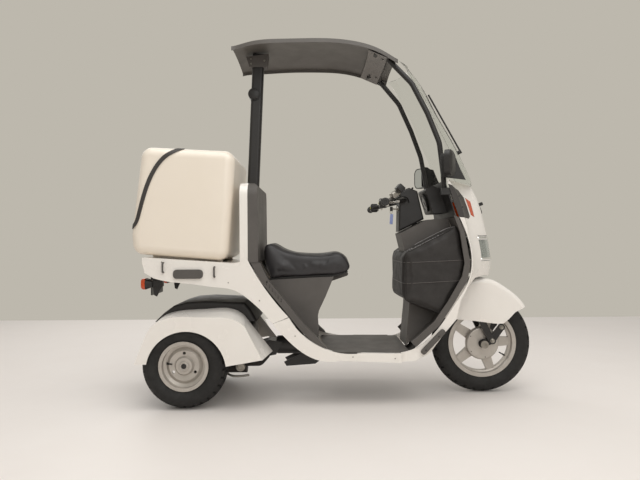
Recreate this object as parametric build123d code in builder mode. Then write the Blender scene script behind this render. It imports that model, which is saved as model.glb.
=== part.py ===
"""Three-wheel delivery scooter with a roof, a tall screen and a rear load box.

Millimetres. X runs forward, Y to the rider's left and Z up. The origin lies on the
ground, under the middle of the whole length. The front body leans on a joint ahead
of the rear unit, which stays level on its two wheels.
"""
import os
from math import cos, radians, sin, tan

from build123d import *

os.makedirs("parts", exist_ok=True)

# Running gear
WHEELBASE = 1400.0
FRONT_AXLE_X = 706.0
FRONT_TYRE_D = 482.0
FRONT_TYRE_W = 90.0
FRONT_RIM_D = 330.0
REAR_TYRE_D = 385.0
REAR_TYRE_W = 130.0
REAR_RIM_D = 222.0
REAR_TREAD = 495.0
TYRE_WALL = 11.0
RUNNING_GAP = 0.05
SEAT_GAP = 0.3

# Steering
CASTER = 26.0
STEER_FOOT_X = 786.0
HEAD_TUBE_R = 26.0
STEM_R = 14.0
GRIP_R = 16.0
GRIP_LENGTH = 110.0
GRIP_END_Y = 330.0
GRIP_X = 200.0
GRIP_Z = 915.0

# Body widths and walls
SKIN = 4.0
SILL_HALF = 255.0
SHIELD_HALF = 235.0
TAIL_HALF = 250.0
BACK_HALF = TAIL_HALF - 5.0
FLOOR_TOP = 240.0
SEAM = 1.5

# Roof and screen
ROOF_HALF = 235.0
ROOF_TOP = 1690.0
ROOF_WALL = 4.0
ROOF_LIP = 18.0
POST_LENGTH = 57.0
POST_WIDTH = 46.0
PILLAR_R = 12.0
SCREEN_WALL = 3.0

# Load box
BOX_HALF = TAIL_HALF - 3.0
BOX_WALL = 12.0
BOX_EDGE = 42.0
DOOR_HALF = 200.0
DOOR_LOW = 745.0
DOOR_HIGH = 1085.0
DOOR_GAP = 5.0
BOX_CORNER = 50.0
BAND_WIDTH = 18.0
BAND_T = 4.0
HINGE_PIN_R = 3.0

# Leaning joint
LEAN_Z = 235.0
LEAN_SHAFT_R = 18.0
LEAN_CASE_R = 44.0

REAR_AXLE_X = FRONT_AXLE_X - WHEELBASE
FRONT_AXLE_Z = FRONT_TYRE_D / 2
REAR_AXLE_Z = REAR_TYRE_D / 2
AXIS_DIR = Vector(-sin(radians(CASTER)), 0, cos(radians(CASTER)))


def axis_x(z):
    """X of the steering axis at height z."""
    return STEER_FOOT_X - z * tan(radians(CASTER))


def steer_plane(z):
    """Plane square to the steering axis where it passes height z."""
    return Plane(origin=(axis_x(z), 0, z), x_dir=(0, 1, 0), z_dir=AXIS_DIR)


def tube(points, radius, bend):
    """Round bar along straight runs joined by arcs."""
    with BuildPart(mode=Mode.PRIVATE) as bar:
        with BuildLine() as path:
            if len(points) > 2:
                FilletPolyline(*points, radius=bend)
            else:
                Line(*points)
        start = path.line @ 0
        with BuildSketch(Plane(origin=start, z_dir=path.line % 0)):
            Circle(radius)
        sweep(path=path.line)
    return bar.part


def write(builder, name):
    builder.part.label = name
    export_step(builder.part, f"parts/{name}.step")


# Side-view curves of the body. The upper curve is the seam between the white covers
# and the grey inner mouldings; the lower curve is the bottom edge of the covers.
UPPER_REAR = [(-418, 673), (-355, 562), (-227, 400), (-136, 298), (-58, 256), (103, 239)]
UPPER_FRONT = [(103, 239), (280, 236), (353, 258), (457, 353), (525, 454), (590, 566),
               (603, 640), (577, 784), (548, 852)]
LOWER_REAR = [(-409, 484), (-311, 385), (-208, 275), (-127, 220), (0, 205), (280, 194)]
LOWER_FRONT = [(280, 194), (342, 196), (411, 230), (483, 327), (532, 385)]

# Rims and tyres
FRONT_FLANGE_R = FRONT_RIM_D / 2
FRONT_SEAT_R = FRONT_FLANGE_R - 13
FRONT_RIM_HALF = 31.0
REAR_FLANGE_R = REAR_RIM_D / 2
REAR_SEAT_R = REAR_FLANGE_R - 11
REAR_RIM_HALF = 46.0
FLANGE_T = 5.0


def tyre_section(outer_d, width, seat_r, flange_r, bead_half):
    """Cross section of a tyre whose beads sit on a rim seat between its flanges."""
    r_out, half, t = outer_d / 2, width / 2, TYRE_WALL
    shoulder = half * 0.8
    drop = half * 0.42
    seat, lip = seat_r + SEAT_GAP, flange_r + 2
    side = (lip + r_out - drop) / 2
    toe = bead_half - t
    inner_side = (lip + r_out - drop - t) / 2
    inner_half = (toe + shoulder - t) / 2 + 0.27 * (r_out - drop - t - lip)
    with BuildSketch() as section:
        with BuildLine():
            ThreePointArc((-shoulder, r_out - drop), (0, r_out), (shoulder, r_out - drop))
            ThreePointArc((shoulder, r_out - drop), (half, side), (bead_half, lip))
            Polyline((bead_half, lip), (bead_half, seat), (toe, seat), (toe, lip))
            ThreePointArc((toe, lip), (inner_half, inner_side), (shoulder - t, r_out - drop - t))
            ThreePointArc((shoulder - t, r_out - drop - t), (0, r_out - t), (t - shoulder, r_out - drop - t))
            ThreePointArc((t - shoulder, r_out - drop - t), (-inner_half, inner_side), (-toe, lip))
            Polyline((-toe, lip), (-toe, seat), (-bead_half, seat), (-bead_half, lip))
            ThreePointArc((-bead_half, lip), (-half, side), (-shoulder, r_out - drop))
        make_face()
    return section.sketch


def wheel_plane(x, y, z):
    """Half plane of a wheel: local x runs along the axle, local y is the radius."""
    return Plane(origin=(x, y, z), x_dir=(0, 1, 0), z_dir=(1, 0, 0))


with BuildPart() as front_tyre:
    with BuildSketch(wheel_plane(FRONT_AXLE_X, 0, FRONT_AXLE_Z)):
        add(tyre_section(FRONT_TYRE_D, FRONT_TYRE_W, FRONT_SEAT_R, FRONT_FLANGE_R, FRONT_RIM_HALF - SEAT_GAP))
    revolve(axis=Axis((FRONT_AXLE_X, 0, FRONT_AXLE_Z), (0, 1, 0)))
write(front_tyre, "front_tyre")

FRONT_HUB_R = 40.0
FRONT_AXLE_R = 7.0
SPOKES = 5
SPOKE_START = 2.0
RIM_SKIN = 5.0
DRUM_R = 80.0

with BuildPart() as front_rim:
    flange, bead, half = FRONT_FLANGE_R, FRONT_SEAT_R, FRONT_RIM_HALF
    well = flange - 27
    with BuildSketch(wheel_plane(FRONT_AXLE_X, 0, FRONT_AXLE_Z)):
        with BuildLine():
            Polyline((-half - FLANGE_T, flange), (-half, flange), (-half, bead), (-16, bead), (-12, well + RIM_SKIN),
                     (12, well + RIM_SKIN), (16, bead), (half, bead), (half, flange), (half + FLANGE_T, flange),
                     (half + FLANGE_T, bead - 5), (16, bead - 7), (12, well - 1), (-12, well - 1), (-16, bead - 7),
                     (-half - FLANGE_T, bead - 5), close=True)
        make_face()
    revolve(axis=Axis((FRONT_AXLE_X, 0, FRONT_AXLE_Z), (0, 1, 0)))
    with BuildSketch(Plane.XZ.offset(-18)):
        with Locations((FRONT_AXLE_X, FRONT_AXLE_Z)):
            Circle(FRONT_HUB_R + 24)
    extrude(amount=36)
    with BuildSketch(Plane.XZ.offset(-13)):
        with Locations((FRONT_AXLE_X, FRONT_AXLE_Z)):
            with PolarLocations(0, SPOKES, start_angle=SPOKE_START):
                Polygon((50, -26), (well + 1, -19), (well + 1, 19), (50, 26), align=None)
    extrude(amount=26)
    with BuildSketch(Plane.XZ.offset(-48)):
        with Locations((FRONT_AXLE_X, FRONT_AXLE_Z)):
            Circle(DRUM_R - 22)
    extrude(amount=30)
    with Locations(Location((FRONT_AXLE_X, 0, FRONT_AXLE_Z), (90, 0, 0))):
        Cylinder(FRONT_AXLE_R + RUNNING_GAP, 120, mode=Mode.SUBTRACT)
    # recess that takes the brake plate
    with BuildSketch(Plane.XZ.offset(12)):
        with Locations((FRONT_AXLE_X, FRONT_AXLE_Z)):
            Circle(FRONT_HUB_R + 18)
    extrude(amount=10, mode=Mode.SUBTRACT)
write(front_rim, "front_rim")


def rear_rim_part(side):
    """Stamped rear wheel; side is +1 on the left and -1 on the right."""
    y0 = side * REAR_TREAD / 2
    r, seat, h = REAR_FLANGE_R, REAR_SEAT_R, REAR_RIM_HALF
    s, w = side, REAR_RIM_HALF + FLANGE_T
    with BuildPart() as rim:
        with BuildSketch(wheel_plane(REAR_AXLE_X, y0, REAR_AXLE_Z)):
            with BuildLine():
                Polyline((-s * w, r), (-s * h, r), (-s * h, seat), (-s * 24, seat), (-s * 16, r - 24),
                         (s * 14, r - 24), (s * 22, seat), (s * h, seat), (s * h, r), (s * w, r),
                         (s * w, seat - 4), (s * 26, seat - 5), (s * 20, r - 30), (s * 30, r - 44),
                         (s * 26, 44), (s * 38, 36), (s * 38, 12 + RUNNING_GAP), (-s * 22, 12 + RUNNING_GAP),
                         (-s * 22, 34), (s * 18, 40), (s * 20, r - 44), (s * 6, r - 29), (-s * 20, r - 29),
                         (-s * 28, seat - 5), (-s * w, seat - 4), close=True)
            make_face()
        revolve(axis=Axis((REAR_AXLE_X, y0, REAR_AXLE_Z), (0, 1, 0)))
        with BuildSketch(Plane.XZ.offset(-y0 - 60)):
            with Locations((REAR_AXLE_X, REAR_AXLE_Z)):
                with PolarLocations(56, 3, start_angle=90):
                    Circle(7)
        extrude(amount=120, mode=Mode.SUBTRACT)
    return rim


def rear_tyre_part(side):
    y0 = side * REAR_TREAD / 2
    with BuildPart() as tyre:
        with BuildSketch(wheel_plane(REAR_AXLE_X, y0, REAR_AXLE_Z)):
            add(tyre_section(REAR_TYRE_D, REAR_TYRE_W, REAR_SEAT_R, REAR_FLANGE_R, REAR_RIM_HALF - SEAT_GAP))
        revolve(axis=Axis((REAR_AXLE_X, y0, REAR_AXLE_Z), (0, 1, 0)))
    return tyre


for side, word in ((1, "left"), (-1, "right")):
    write(rear_tyre_part(side), f"rear_tyre_{word}")
    write(rear_rim_part(side), f"rear_rim_{word}")

# Fork, links and front axle
LINK_PIVOT = (744.0, 259.0)
LINK_HEAD = (792.0, 322.0)
LEG_Y = 70.0
LEG_W = 14.0
LEG_TOP_Z = 505.0
STEM_TOP = 926.0
CROWN_NECK = 36.0

with BuildPart() as fork_legs:
    leg_foot = Vector(LINK_PIVOT[0], 0, LINK_PIVOT[1])
    leg_top = leg_foot + AXIS_DIR * ((LEG_TOP_Z - LINK_PIVOT[1]) / AXIS_DIR.Z)
    with BuildSketch(Plane.XZ.offset(LEG_Y - LEG_W / 2)):
        with BuildLine():
            Polyline((leg_foot.X - 18, leg_foot.Z - 4), (leg_foot.X + 14, leg_foot.Z - 4),
                     (leg_top.X + 19, leg_top.Z), (leg_top.X - 19, leg_top.Z), close=True)
        make_face()
        with Locations((leg_foot.X, leg_foot.Z)):
            Circle(17)
    extrude(amount=LEG_W)
    mirror(about=Plane.XZ)
    # crown bridge over the tyre, and its neck to the stem
    with BuildSketch(Plane.XZ):
        with BuildLine():
            Polyline((leg_top.X - 24, leg_top.Z - 8), (leg_top.X + 24, leg_top.Z - 8), (leg_top.X + 18, leg_top.Z + 16),
                     (leg_top.X - 20, leg_top.Z + 14), close=True)
        make_face()
    extrude(amount=LEG_Y + LEG_W / 2, both=True)
    with BuildSketch(Plane.XZ):
        with BuildLine():
            Polyline((leg_top.X - 16, leg_top.Z - 8), (leg_top.X, leg_top.Z + 15), (axis_x(540) + 22, 548),
                     (axis_x(540) - 26, 530), close=True)
        make_face()
    extrude(amount=CROWN_NECK, both=True)
    with BuildSketch(steer_plane(530)):
        Circle(STEM_R)
    extrude(amount=(STEM_TOP - 530) / AXIS_DIR.Z)
write(fork_legs, "fork")

with BuildPart() as fork_links:
    y_in = LEG_Y - LEG_W / 2 - SEAT_GAP - 8
    with BuildSketch(Plane.XZ.offset(y_in)):
        with BuildLine():
            Polyline((FRONT_AXLE_X - 4, FRONT_AXLE_Z + 15), (FRONT_AXLE_X - 2, FRONT_AXLE_Z - 15),
                     (LINK_PIVOT[0] + 12, LINK_PIVOT[1] - 15), (LINK_HEAD[0] + 16, LINK_HEAD[1] - 4),
                     (LINK_HEAD[0] - 12, LINK_HEAD[1] + 12), (LINK_PIVOT[0] - 6, LINK_PIVOT[1] + 20), close=True)
        make_face()
        with Locations((FRONT_AXLE_X, FRONT_AXLE_Z)):
            Circle(16)
        with Locations(LINK_HEAD):
            Circle(17)
    extrude(amount=8)
    mirror(about=Plane.XZ)
    with Locations(Location((FRONT_AXLE_X, 0, FRONT_AXLE_Z), (90, 0, 0))):
        Cylinder(FRONT_AXLE_R + RUNNING_GAP, 200, mode=Mode.SUBTRACT)
write(fork_links, "fork_links")

with BuildPart() as front_axle:
    with Locations(Location((FRONT_AXLE_X, 0, FRONT_AXLE_Z), (90, 0, 0))):
        Cylinder(FRONT_AXLE_R, 2 * (LEG_Y + 6))
    with BuildSketch(Plane.XZ.offset(LEG_Y - LEG_W / 2)):
        with Locations((FRONT_AXLE_X, FRONT_AXLE_Z)):
            RegularPolygon(11, 6)
    extrude(amount=9)
    with BuildSketch(Plane.XZ.offset(-(LEG_Y - LEG_W / 2) - 9)):
        with Locations((FRONT_AXLE_X, FRONT_AXLE_Z)):
            RegularPolygon(11, 6)
    extrude(amount=9)
write(front_axle, "front_axle")

with BuildPart() as brake_plate:
    with BuildSketch(Plane.XZ.offset(19)):
        with Locations((FRONT_AXLE_X, FRONT_AXLE_Z)):
            Circle(DRUM_R)
            Circle(FRONT_AXLE_R + RUNNING_GAP, mode=Mode.SUBTRACT)
    extrude(amount=24)
    fillet(brake_plate.faces().sort_by(Axis.Y)[0].edges().sort_by(SortBy.LENGTH)[-1], 10)
write(brake_plate, "front_brake_plate")

FENDER_HALF = 84.0
FENDER_WALL = 3.0
FENDER_EDGE = 24.0
FENDER_TOP = [(906, 424), (872, 468), (830, 503), (781, 536), (741, 555), (690, 563), (620, 548), (560, 500),
              (515, 440), (480, 378)]
with BuildPart() as fender_inside:
    with BuildSketch(Plane.XZ):
        with BuildLine():
            Spline(*[(x - FENDER_WALL * (1 if x > 640 else -1), z - FENDER_WALL - 0.5) for x, z in FENDER_TOP])
            Polyline((480 + FENDER_WALL, 378 - FENDER_WALL - 0.5), (520, 300), (820, 300),
                     (906 - FENDER_WALL, 424 - FENDER_WALL - 0.5))
        make_face()
    extrude(amount=FENDER_HALF - FENDER_WALL, both=True)
    fillet(fender_inside.faces().filter_by(Axis.Y).edges().filter_by(lambda e: e.center().Z > 440),
           FENDER_EDGE - FENDER_WALL)
with BuildPart() as front_fender:
    with BuildSketch(Plane.XZ):
        with BuildLine():
            Spline(*FENDER_TOP)
            Polyline((480, 378), (580, 363), (653, 357), (753, 343), (795, 343), (821, 364), (852, 397), (906, 424))
        make_face()
    extrude(amount=FENDER_HALF, both=True)
    fillet(front_fender.faces().filter_by(Axis.Y).edges().filter_by(lambda e: e.center().Z > 440), FENDER_EDGE)
    add(fender_inside.part, mode=Mode.SUBTRACT)
    # slot for the neck of the crown
    with BuildSketch(Plane.XZ):
        with BuildLine():
            Polyline((600, 440), (606, 560), (480, 562), (480, 440), close=True)
        make_face()
    extrude(amount=CROWN_NECK + 3, both=True, mode=Mode.SUBTRACT)
write(front_fender, "front_fender")

# Handlebar, grips, levers and the housing round the stem
BAR_R = 11.0
BAR_Z = 940.0
with BuildPart() as handlebar:
    bar_x = axis_x(BAR_Z)
    add(tube([(bar_x, 0, BAR_Z), (bar_x - 4, 80, BAR_Z), (GRIP_X, 182, GRIP_Z), (GRIP_X, GRIP_END_Y - 6, GRIP_Z)],
             BAR_R, 30))
    mirror(about=Plane.XZ)
    with BuildSketch(steer_plane(STEM_TOP)):
        Circle(STEM_R + 10)
    extrude(amount=30)
write(handlebar, "handlebar")

with BuildPart() as grips:
    with Locations(Location((GRIP_X, GRIP_END_Y - GRIP_LENGTH / 2, GRIP_Z), (90, 0, 0))):
        Cylinder(GRIP_R, GRIP_LENGTH)
    with Locations(Location((GRIP_X, GRIP_END_Y - GRIP_LENGTH / 2 - 5, GRIP_Z), (90, 0, 0))):
        Cylinder(BAR_R + RUNNING_GAP, GRIP_LENGTH, mode=Mode.SUBTRACT)
    mirror(about=Plane.XZ)
write(grips, "grips")

with BuildPart() as levers:
    add(tube([(GRIP_X + 22, 214, GRIP_Z + 4), (GRIP_X + 52, 236, GRIP_Z + 4), (GRIP_X + 60, GRIP_END_Y - 8, GRIP_Z + 2)],
             5, 14))
    with Locations((GRIP_X + 9, 209, GRIP_Z + 2)):
        Box(42, 20, 30)
    with Locations(Location((GRIP_X, 210, GRIP_Z), (90, 0, 0))):
        Cylinder(BAR_R + RUNNING_GAP, 40, mode=Mode.SUBTRACT)
    mirror(about=Plane.XZ)
write(levers, "levers")

# Frame
FRAME_R = 20.0
RAIL_R = 13.0
RAIL_Z = 207.0
with BuildPart() as main_frame:
    add(tube([(axis_x(650), 0, 650), (425, 0, 440), (366, 0, RAIL_Z), (60, 0, RAIL_Z)], FRAME_R, 40))
    with BuildSketch(steer_plane(582)):
        Circle(HEAD_TUBE_R)
    extrude(amount=130)
    with BuildSketch(steer_plane(582)):
        Circle(STEM_R + RUNNING_GAP)
    extrude(amount=300, both=True, mode=Mode.SUBTRACT)
    add(tube([(300, 165, RAIL_Z), (-95, 165, RAIL_Z), (-345, 180, 520), (-425, 190, 612), (-850, 190, 612)], RAIL_R, 50))
    add(tube([(300, -165, RAIL_Z), (-95, -165, RAIL_Z), (-345, -180, 520), (-425, -190, 612), (-850, -190, 612)],
             RAIL_R, 50))
    for x, y, z in ((290, 165, RAIL_Z), (80, 165, RAIL_Z), (-60, 165, RAIL_Z), (-430, 190, 612), (-840, 190, 612)):
        with Locations(Location((x, 0, z), (90, 0, 0))):
            Cylinder(RAIL_R - 2, 2 * y)
    # bracket that holds the shaft of the leaning joint
    with BuildSketch(Plane.XZ):
        with BuildLine():
            Polyline((-30, RAIL_Z + 14), (-84, RAIL_Z + 19), (-96, LEAN_Z + 34), (-112, LEAN_Z + 28), (-112, LEAN_Z - 34),
                     (-40, RAIL_Z - 28), close=True)
        make_face()
    extrude(amount=56, both=True)
    # side plates that guard the joint
    with BuildSketch(Plane.XZ.offset(50)):
        with BuildLine():
            Polyline((-62, 186), (-84, 226), (-110, 232), (-262, 160), (-250, 140), (-110, 150), close=True)
        make_face()
    extrude(amount=6)
    with BuildSketch(Plane.XZ.offset(-56)):
        with BuildLine():
            Polyline((-62, 186), (-84, 226), (-110, 232), (-262, 160), (-250, 140), (-110, 150), close=True)
        make_face()
    extrude(amount=6)
    with BuildSketch(Plane.YZ.offset(-100)):
        with Locations((0, LEAN_Z)):
            Circle(LEAN_SHAFT_R)
    extrude(amount=-110)
write(main_frame, "main_frame")

# Rear unit
with BuildPart() as joint_case:
    with BuildSketch(Plane.YZ.offset(-125)):
        with Locations((0, LEAN_Z)):
            Circle(LEAN_CASE_R)
    extrude(amount=-175)
    fillet(joint_case.edges().filter_by(GeomType.CIRCLE), 8)
    with BuildSketch(Plane.XZ):
        with BuildLine():
            Polyline((-270, LEAN_Z + 20), (-330, LEAN_Z + 30), (-400, LEAN_Z + 10), (-400, LEAN_Z - 60),
                     (-300, LEAN_Z - 40), close=True)
        make_face()
    extrude(amount=52, both=True)
    with BuildSketch(Plane.YZ.offset(-100)):
        with Locations((0, LEAN_Z)):
            Circle(LEAN_SHAFT_R + RUNNING_GAP)
    extrude(amount=-116, mode=Mode.SUBTRACT)
write(joint_case, "joint_case")

with BuildPart() as power_unit:
    # crankcase with its belt case on the left, cylinder ahead and final drive behind
    with Locations((-560, 10, 250)):
        Box(320, 190, 190)
    fillet(power_unit.edges(), 22)
    with Locations((-640, 118, 235)):
        Box(290, 60, 130)
    with Locations(Location((REAR_AXLE_X, 0, REAR_AXLE_Z), (90, 0, 0))):
        Cylinder(42, 330)
        Cylinder(62, 190)
        Cylinder(12, REAR_TREAD + 78)
    # posts that carry the engine cover
    with BuildSketch(Plane.XY.offset(330)):
        with Locations((-560, 60), (-560, -60)):
            Circle(10)
    extrude(amount=129.3)
write(power_unit, "power_unit")

REAR_FENDER_IN = 175.0
REAR_FENDER_OUT = 325.0
with BuildPart() as engine_cover:
    with BuildSketch(Plane.XZ):
        with BuildLine():
            Polyline((-852, 375), (-811, 416), (-767, 448), (-712, 464), (-624, 469), (-492, 463), (-438, 462),
                     (-410, 430), (-380, 375), close=True)
        make_face()
    extrude(amount=REAR_FENDER_IN - SEAT_GAP, both=True)
    fillet(engine_cover.faces().filter_by(Axis.Y).edges().filter_by(lambda e: e.center().Z > 400), 16)
    with BuildSketch(Plane.XZ):
        with BuildLine():
            Polyline((-840, 360), (-806, 408), (-765, 441), (-712, 458), (-624, 463), (-492, 457), (-442, 456),
                     (-418, 428), (-395, 360), close=True)
        make_face()
    extrude(amount=REAR_FENDER_IN - SEAT_GAP - 6, both=True, mode=Mode.SUBTRACT)
write(engine_cover, "engine_cover")

FENDER_TOP_Z = REAR_TYRE_D + 29
TYRE_BACK_X = REAR_AXLE_X - REAR_TYRE_D / 2
FENDER_OUTER = [(TYRE_BACK_X - 17.5, 209), (TYRE_BACK_X + 35, FENDER_TOP_Z - 75), (-806, FENDER_TOP_Z - 22),
                (-740, FENDER_TOP_Z), (-600, FENDER_TOP_Z), (-470, FENDER_TOP_Z - 10), (-418, FENDER_TOP_Z - 42),
                (-341, 225), (-502, 198), (-682, FENDER_TOP_Z - 62), (-851, 209)]
FENDER_INNER = [(TYRE_BACK_X - 11.5, 225), (TYRE_BACK_X + 28.5, FENDER_TOP_Z - 75), (-808, FENDER_TOP_Z - 10),
                (-740, FENDER_TOP_Z + 11), (-600, FENDER_TOP_Z + 21), (-490, FENDER_TOP_Z + 19),
                (-436, FENDER_TOP_Z - 12), (-307, 236), (-502, 216), (-682, FENDER_TOP_Z - 62), (-851, 209)]


def fender_section(points, y, wall):
    """Side view of the fender at one width; wall insets its upper outline for the hollow."""
    (rear, heel, *crown, toe, foot, arch, back) = points
    if wall:
        slope = (heel[0] - rear[0]) / (heel[1] - rear[1])
        rear, heel = (rear[0] + wall - 60 * slope, rear[1] - 60), (heel[0] + wall, heel[1])
        crown = [(x + (wall if x < -780 else -wall if x > -450 else 0), z - wall - 1) for x, z in crown]
        toe, foot, arch, back = (toe[0] - 2 * wall, toe[1] - 60), (foot[0], 130), None, (back[0] - 44, 130)
    with BuildSketch(Plane.XZ.offset(y)) as section:
        with BuildLine():
            Line(rear, heel)
            Spline(heel, *crown)
            Line(crown[-1], toe)
            Line(toe, foot)
            if arch:
                ThreePointArc(foot, arch, back)
            else:
                Line(foot, back)
            Line(back, rear)
        make_face()
    return section.sketch


with BuildPart() as rear_fenders:
    loft(sections=[fender_section(FENDER_INNER, REAR_FENDER_IN, 0), fender_section(FENDER_OUTER, REAR_FENDER_OUT, 0)])
    loft(sections=[fender_section(FENDER_INNER, REAR_FENDER_IN - 1, 3.5),
                   fender_section(FENDER_OUTER, REAR_FENDER_OUT - 3, 3.5)], mode=Mode.SUBTRACT)
    mirror(about=Plane.XZ)
write(rear_fenders, "rear_fenders")

with BuildPart() as muffler:
    with BuildSketch(Plane.YZ.offset(-430)):
        with Locations((-132, 172)):
            RectangleRounded(64, 84, 26)
    extrude(amount=-205)
    add(tube([(-434, -132, 172), (-370, -132, 172), (-340, -90, 200)], 14, 20))
write(muffler, "muffler")

# Floor and leg shield
FLOOR_T = 8.0
FLOOR_FRONT = 320.0
SILL_DEPTH = 20.0
with BuildPart() as floor_board:
    with BuildSketch(Plane.XY.offset(FLOOR_TOP - FLOOR_T)):
        with BuildLine():
            Polyline((-78, -SILL_HALF + SILL_DEPTH + 1), (276, -SILL_HALF + SILL_DEPTH + 1), (276, -216),
                     (FLOOR_FRONT, -216), (FLOOR_FRONT, 216), (276, 216), (276, SILL_HALF - SILL_DEPTH - 1),
                     (-78, SILL_HALF - SILL_DEPTH - 1), close=True)
        make_face()
    extrude(amount=FLOOR_T)
write(floor_board, "floor_board")

HUMP_HALF = 95.0
HUMP = [(322, 240), (331, 330), (341, 430), (342, 520), (336, 600), (323, 690), (302, 780), (426, 843)]
SHEET = [(347, 262), (448, 356), (514, 456), (578, 567), (590, 640), (565, 780), (536, 852)]
with BuildPart() as leg_shield:
    with BuildSketch(Plane.XZ):
        with BuildLine():
            Polyline(*SHEET, (529, 849), (558, 777), (583, 640), (571, 569), (508, 460), (443, 361), (342, 267),
                     close=True)
        make_face()
    extrude(amount=SHIELD_HALF - 8, both=True)
    # side wings that carry the edge trim
    with BuildSketch(Plane.XZ.offset(SHIELD_HALF - 12)):
        with BuildLine():
            Polyline((350, 261), (454, 355), (521, 455), (586, 566), (598, 640), (573, 783), (544, 851),
                     (524, 858), (551, 786), (572, 640), (560, 580), (497, 470), (432, 376), (330, 283), close=True)
        make_face()
    extrude(amount=8)
    mirror(about=Plane.XZ)
    # tunnel over the wheel well and the steering stem
    with BuildSketch(Plane.XZ):
        with BuildLine():
            Polyline(*HUMP, (529, 850), (586, 640), (574, 568), (510, 458), (445, 359), (342, 262), close=True)
        make_face()
    extrude(amount=HUMP_HALF, both=True)
    with BuildSketch(Plane.XZ):
        with BuildLine():
            Polyline((316, 200), (335, 329), (345, 429), (346, 521), (340, 601), (327, 691), (308, 778), (424, 837),
                     (620, 845), (640, 640), (600, 500), (500, 353), (380, 200), close=True)
        make_face()
    extrude(amount=HUMP_HALF - SKIN, both=True, mode=Mode.SUBTRACT)
    with BuildSketch(steer_plane(828)):
        Circle(STEM_R + 8)
    extrude(amount=40, both=True, mode=Mode.SUBTRACT)
write(leg_shield, "leg_shield")

PILLAR = [(238, 182, 1582), (341, 202, 1467), (408, 220, 1327), (460, 230, 1190), (482, 208, 1048), (488, 200, 965)]
with BuildPart() as dash_panel:
    with BuildSketch(Plane.XZ):
        with BuildLine():
            Polyline((529, 852.3), (526, 876), (490, 992), (484, 1018), (489, 1018), (495, 993), (531, 877), (534, 852.3),
                     close=True)
        make_face()
    extrude(amount=SHIELD_HALF - 12 - SEAT_GAP, both=True)
    for half in (1, -1):
        add(tube([(x, half * y, z) for x, y, z in PILLAR], PILLAR_R + SEAT_GAP, 120), mode=Mode.SUBTRACT)
write(dash_panel, "dash_panel")

# Front cowl

def nose_section(z, x_front, half_w, inset=0.0):
    """Plan section of the cowl, open shape closed across its back."""
    w, f = half_w - inset, x_front - inset
    with BuildSketch(Plane.XY.offset(z)) as section:
        with BuildLine():
            Spline((f - 150, -w), (f - 85, -0.55 * w), (f, 0), (f - 85, 0.55 * w), (f - 150, w),
                   tangents=[(0.35, 1), (-0.35, 1)])
            Line((f - 150, w), (250, w))
            Line((250, w), (250, -w))
            Line((250, -w), (f - 150, -w))
        make_face()
    return section.sketch


NOSE = [(180, 600, 232), (420, 690, 234), (545, 738, 235), (650, 757, 235), (760, 741, 235), (870, 716, 234),
        (960, 686, 233), (1040, 636, 232)]

with BuildPart() as nose_outer:
    loft(sections=[nose_section(z, f, w) for z, f, w in NOSE])
with BuildPart() as nose_inner:
    loft(sections=[nose_section(z + (6 if z > 1000 else -6 if z < 200 else 0), f, w, SKIN) for z, f, w in NOSE])

COWL_SIDE = UPPER_FRONT[1:]
LAMP_HALF = 120.0
LAMP_LOW, LAMP_HIGH = 645.0, 762.0
TURN = [(598, 945), (632, 928), (651, 853), (628, 863)]
GARNISH = [(460, 1012), (502, 1001), (560, 977), (590, 945), (607, 898), (620, 856), (612, 845), (556, 849), (520, 856),
           (460, 990)]


def cowl_window():
    """Side-view area that the white cowl fills."""
    with BuildSketch() as window:
        with BuildLine():
            Spline(*COWL_SIDE)
            Polyline((548, 852), (528, 905), (492, 1027), (533, 1022), (645, 1008), (800, 1008), (800, 568),
                     (741, 568), (700, 578), (640, 568), (585, 525), (552, 470), (532, 385), (483, 327), (411, 230),
                     (342, 196), (280, 194), (280, 236))
        make_face()
    return window.sketch


with BuildPart() as front_cowl:
    add(nose_outer.part)
    add(nose_inner.part, mode=Mode.SUBTRACT)
    with BuildSketch(Plane.XZ):
        add(cowl_window())
    extrude(amount=300, both=True, mode=Mode.INTERSECT)
    with Locations((730, 0, (LAMP_LOW + LAMP_HIGH) / 2)):
        Box(200, 2 * LAMP_HALF, LAMP_HIGH - LAMP_LOW, mode=Mode.SUBTRACT)
    with BuildSketch(Plane.XZ):
        with BuildLine():
            Polyline(*TURN, close=True)
        make_face()
    extrude(amount=300, both=True, mode=Mode.SUBTRACT)
    with BuildSketch(Plane.XZ):
        with BuildLine():
            Polyline(*GARNISH, close=True)
        make_face()
    extrude(amount=300, both=True, mode=Mode.SUBTRACT)
write(front_cowl, "front_cowl")

with BuildPart() as headlamp_lens:
    add(nose_outer.part)
    add(nose_inner.part, mode=Mode.SUBTRACT)
    with Locations((730, 0, (LAMP_LOW + LAMP_HIGH) / 2)):
        Box(198, 2 * LAMP_HALF - 1.2, LAMP_HIGH - LAMP_LOW - 1.2, mode=Mode.INTERSECT)
write(headlamp_lens, "headlamp_lens")

with BuildPart() as front_turn_lamps:
    add(nose_outer.part)
    add(nose_inner.part, mode=Mode.SUBTRACT)
    with BuildSketch(Plane.XZ):
        with BuildLine():
            Polyline(*TURN, close=True)
        make_face()
        offset(amount=-0.6)
    extrude(amount=300, both=True, mode=Mode.INTERSECT)
write(front_turn_lamps, "front_turn_lamps")

with BuildPart() as cowl_garnish:
    add(nose_outer.part)
    add(nose_inner.part, mode=Mode.SUBTRACT)
    with BuildSketch(Plane.XZ):
        add(cowl_window())
    extrude(amount=300, both=True, mode=Mode.INTERSECT)
    with BuildSketch(Plane.XZ):
        with BuildLine():
            Polyline(*GARNISH, close=True)
        make_face()
        offset(amount=-0.6)
    extrude(amount=300, both=True, mode=Mode.INTERSECT)
write(cowl_garnish, "cowl_garnish")

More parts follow.
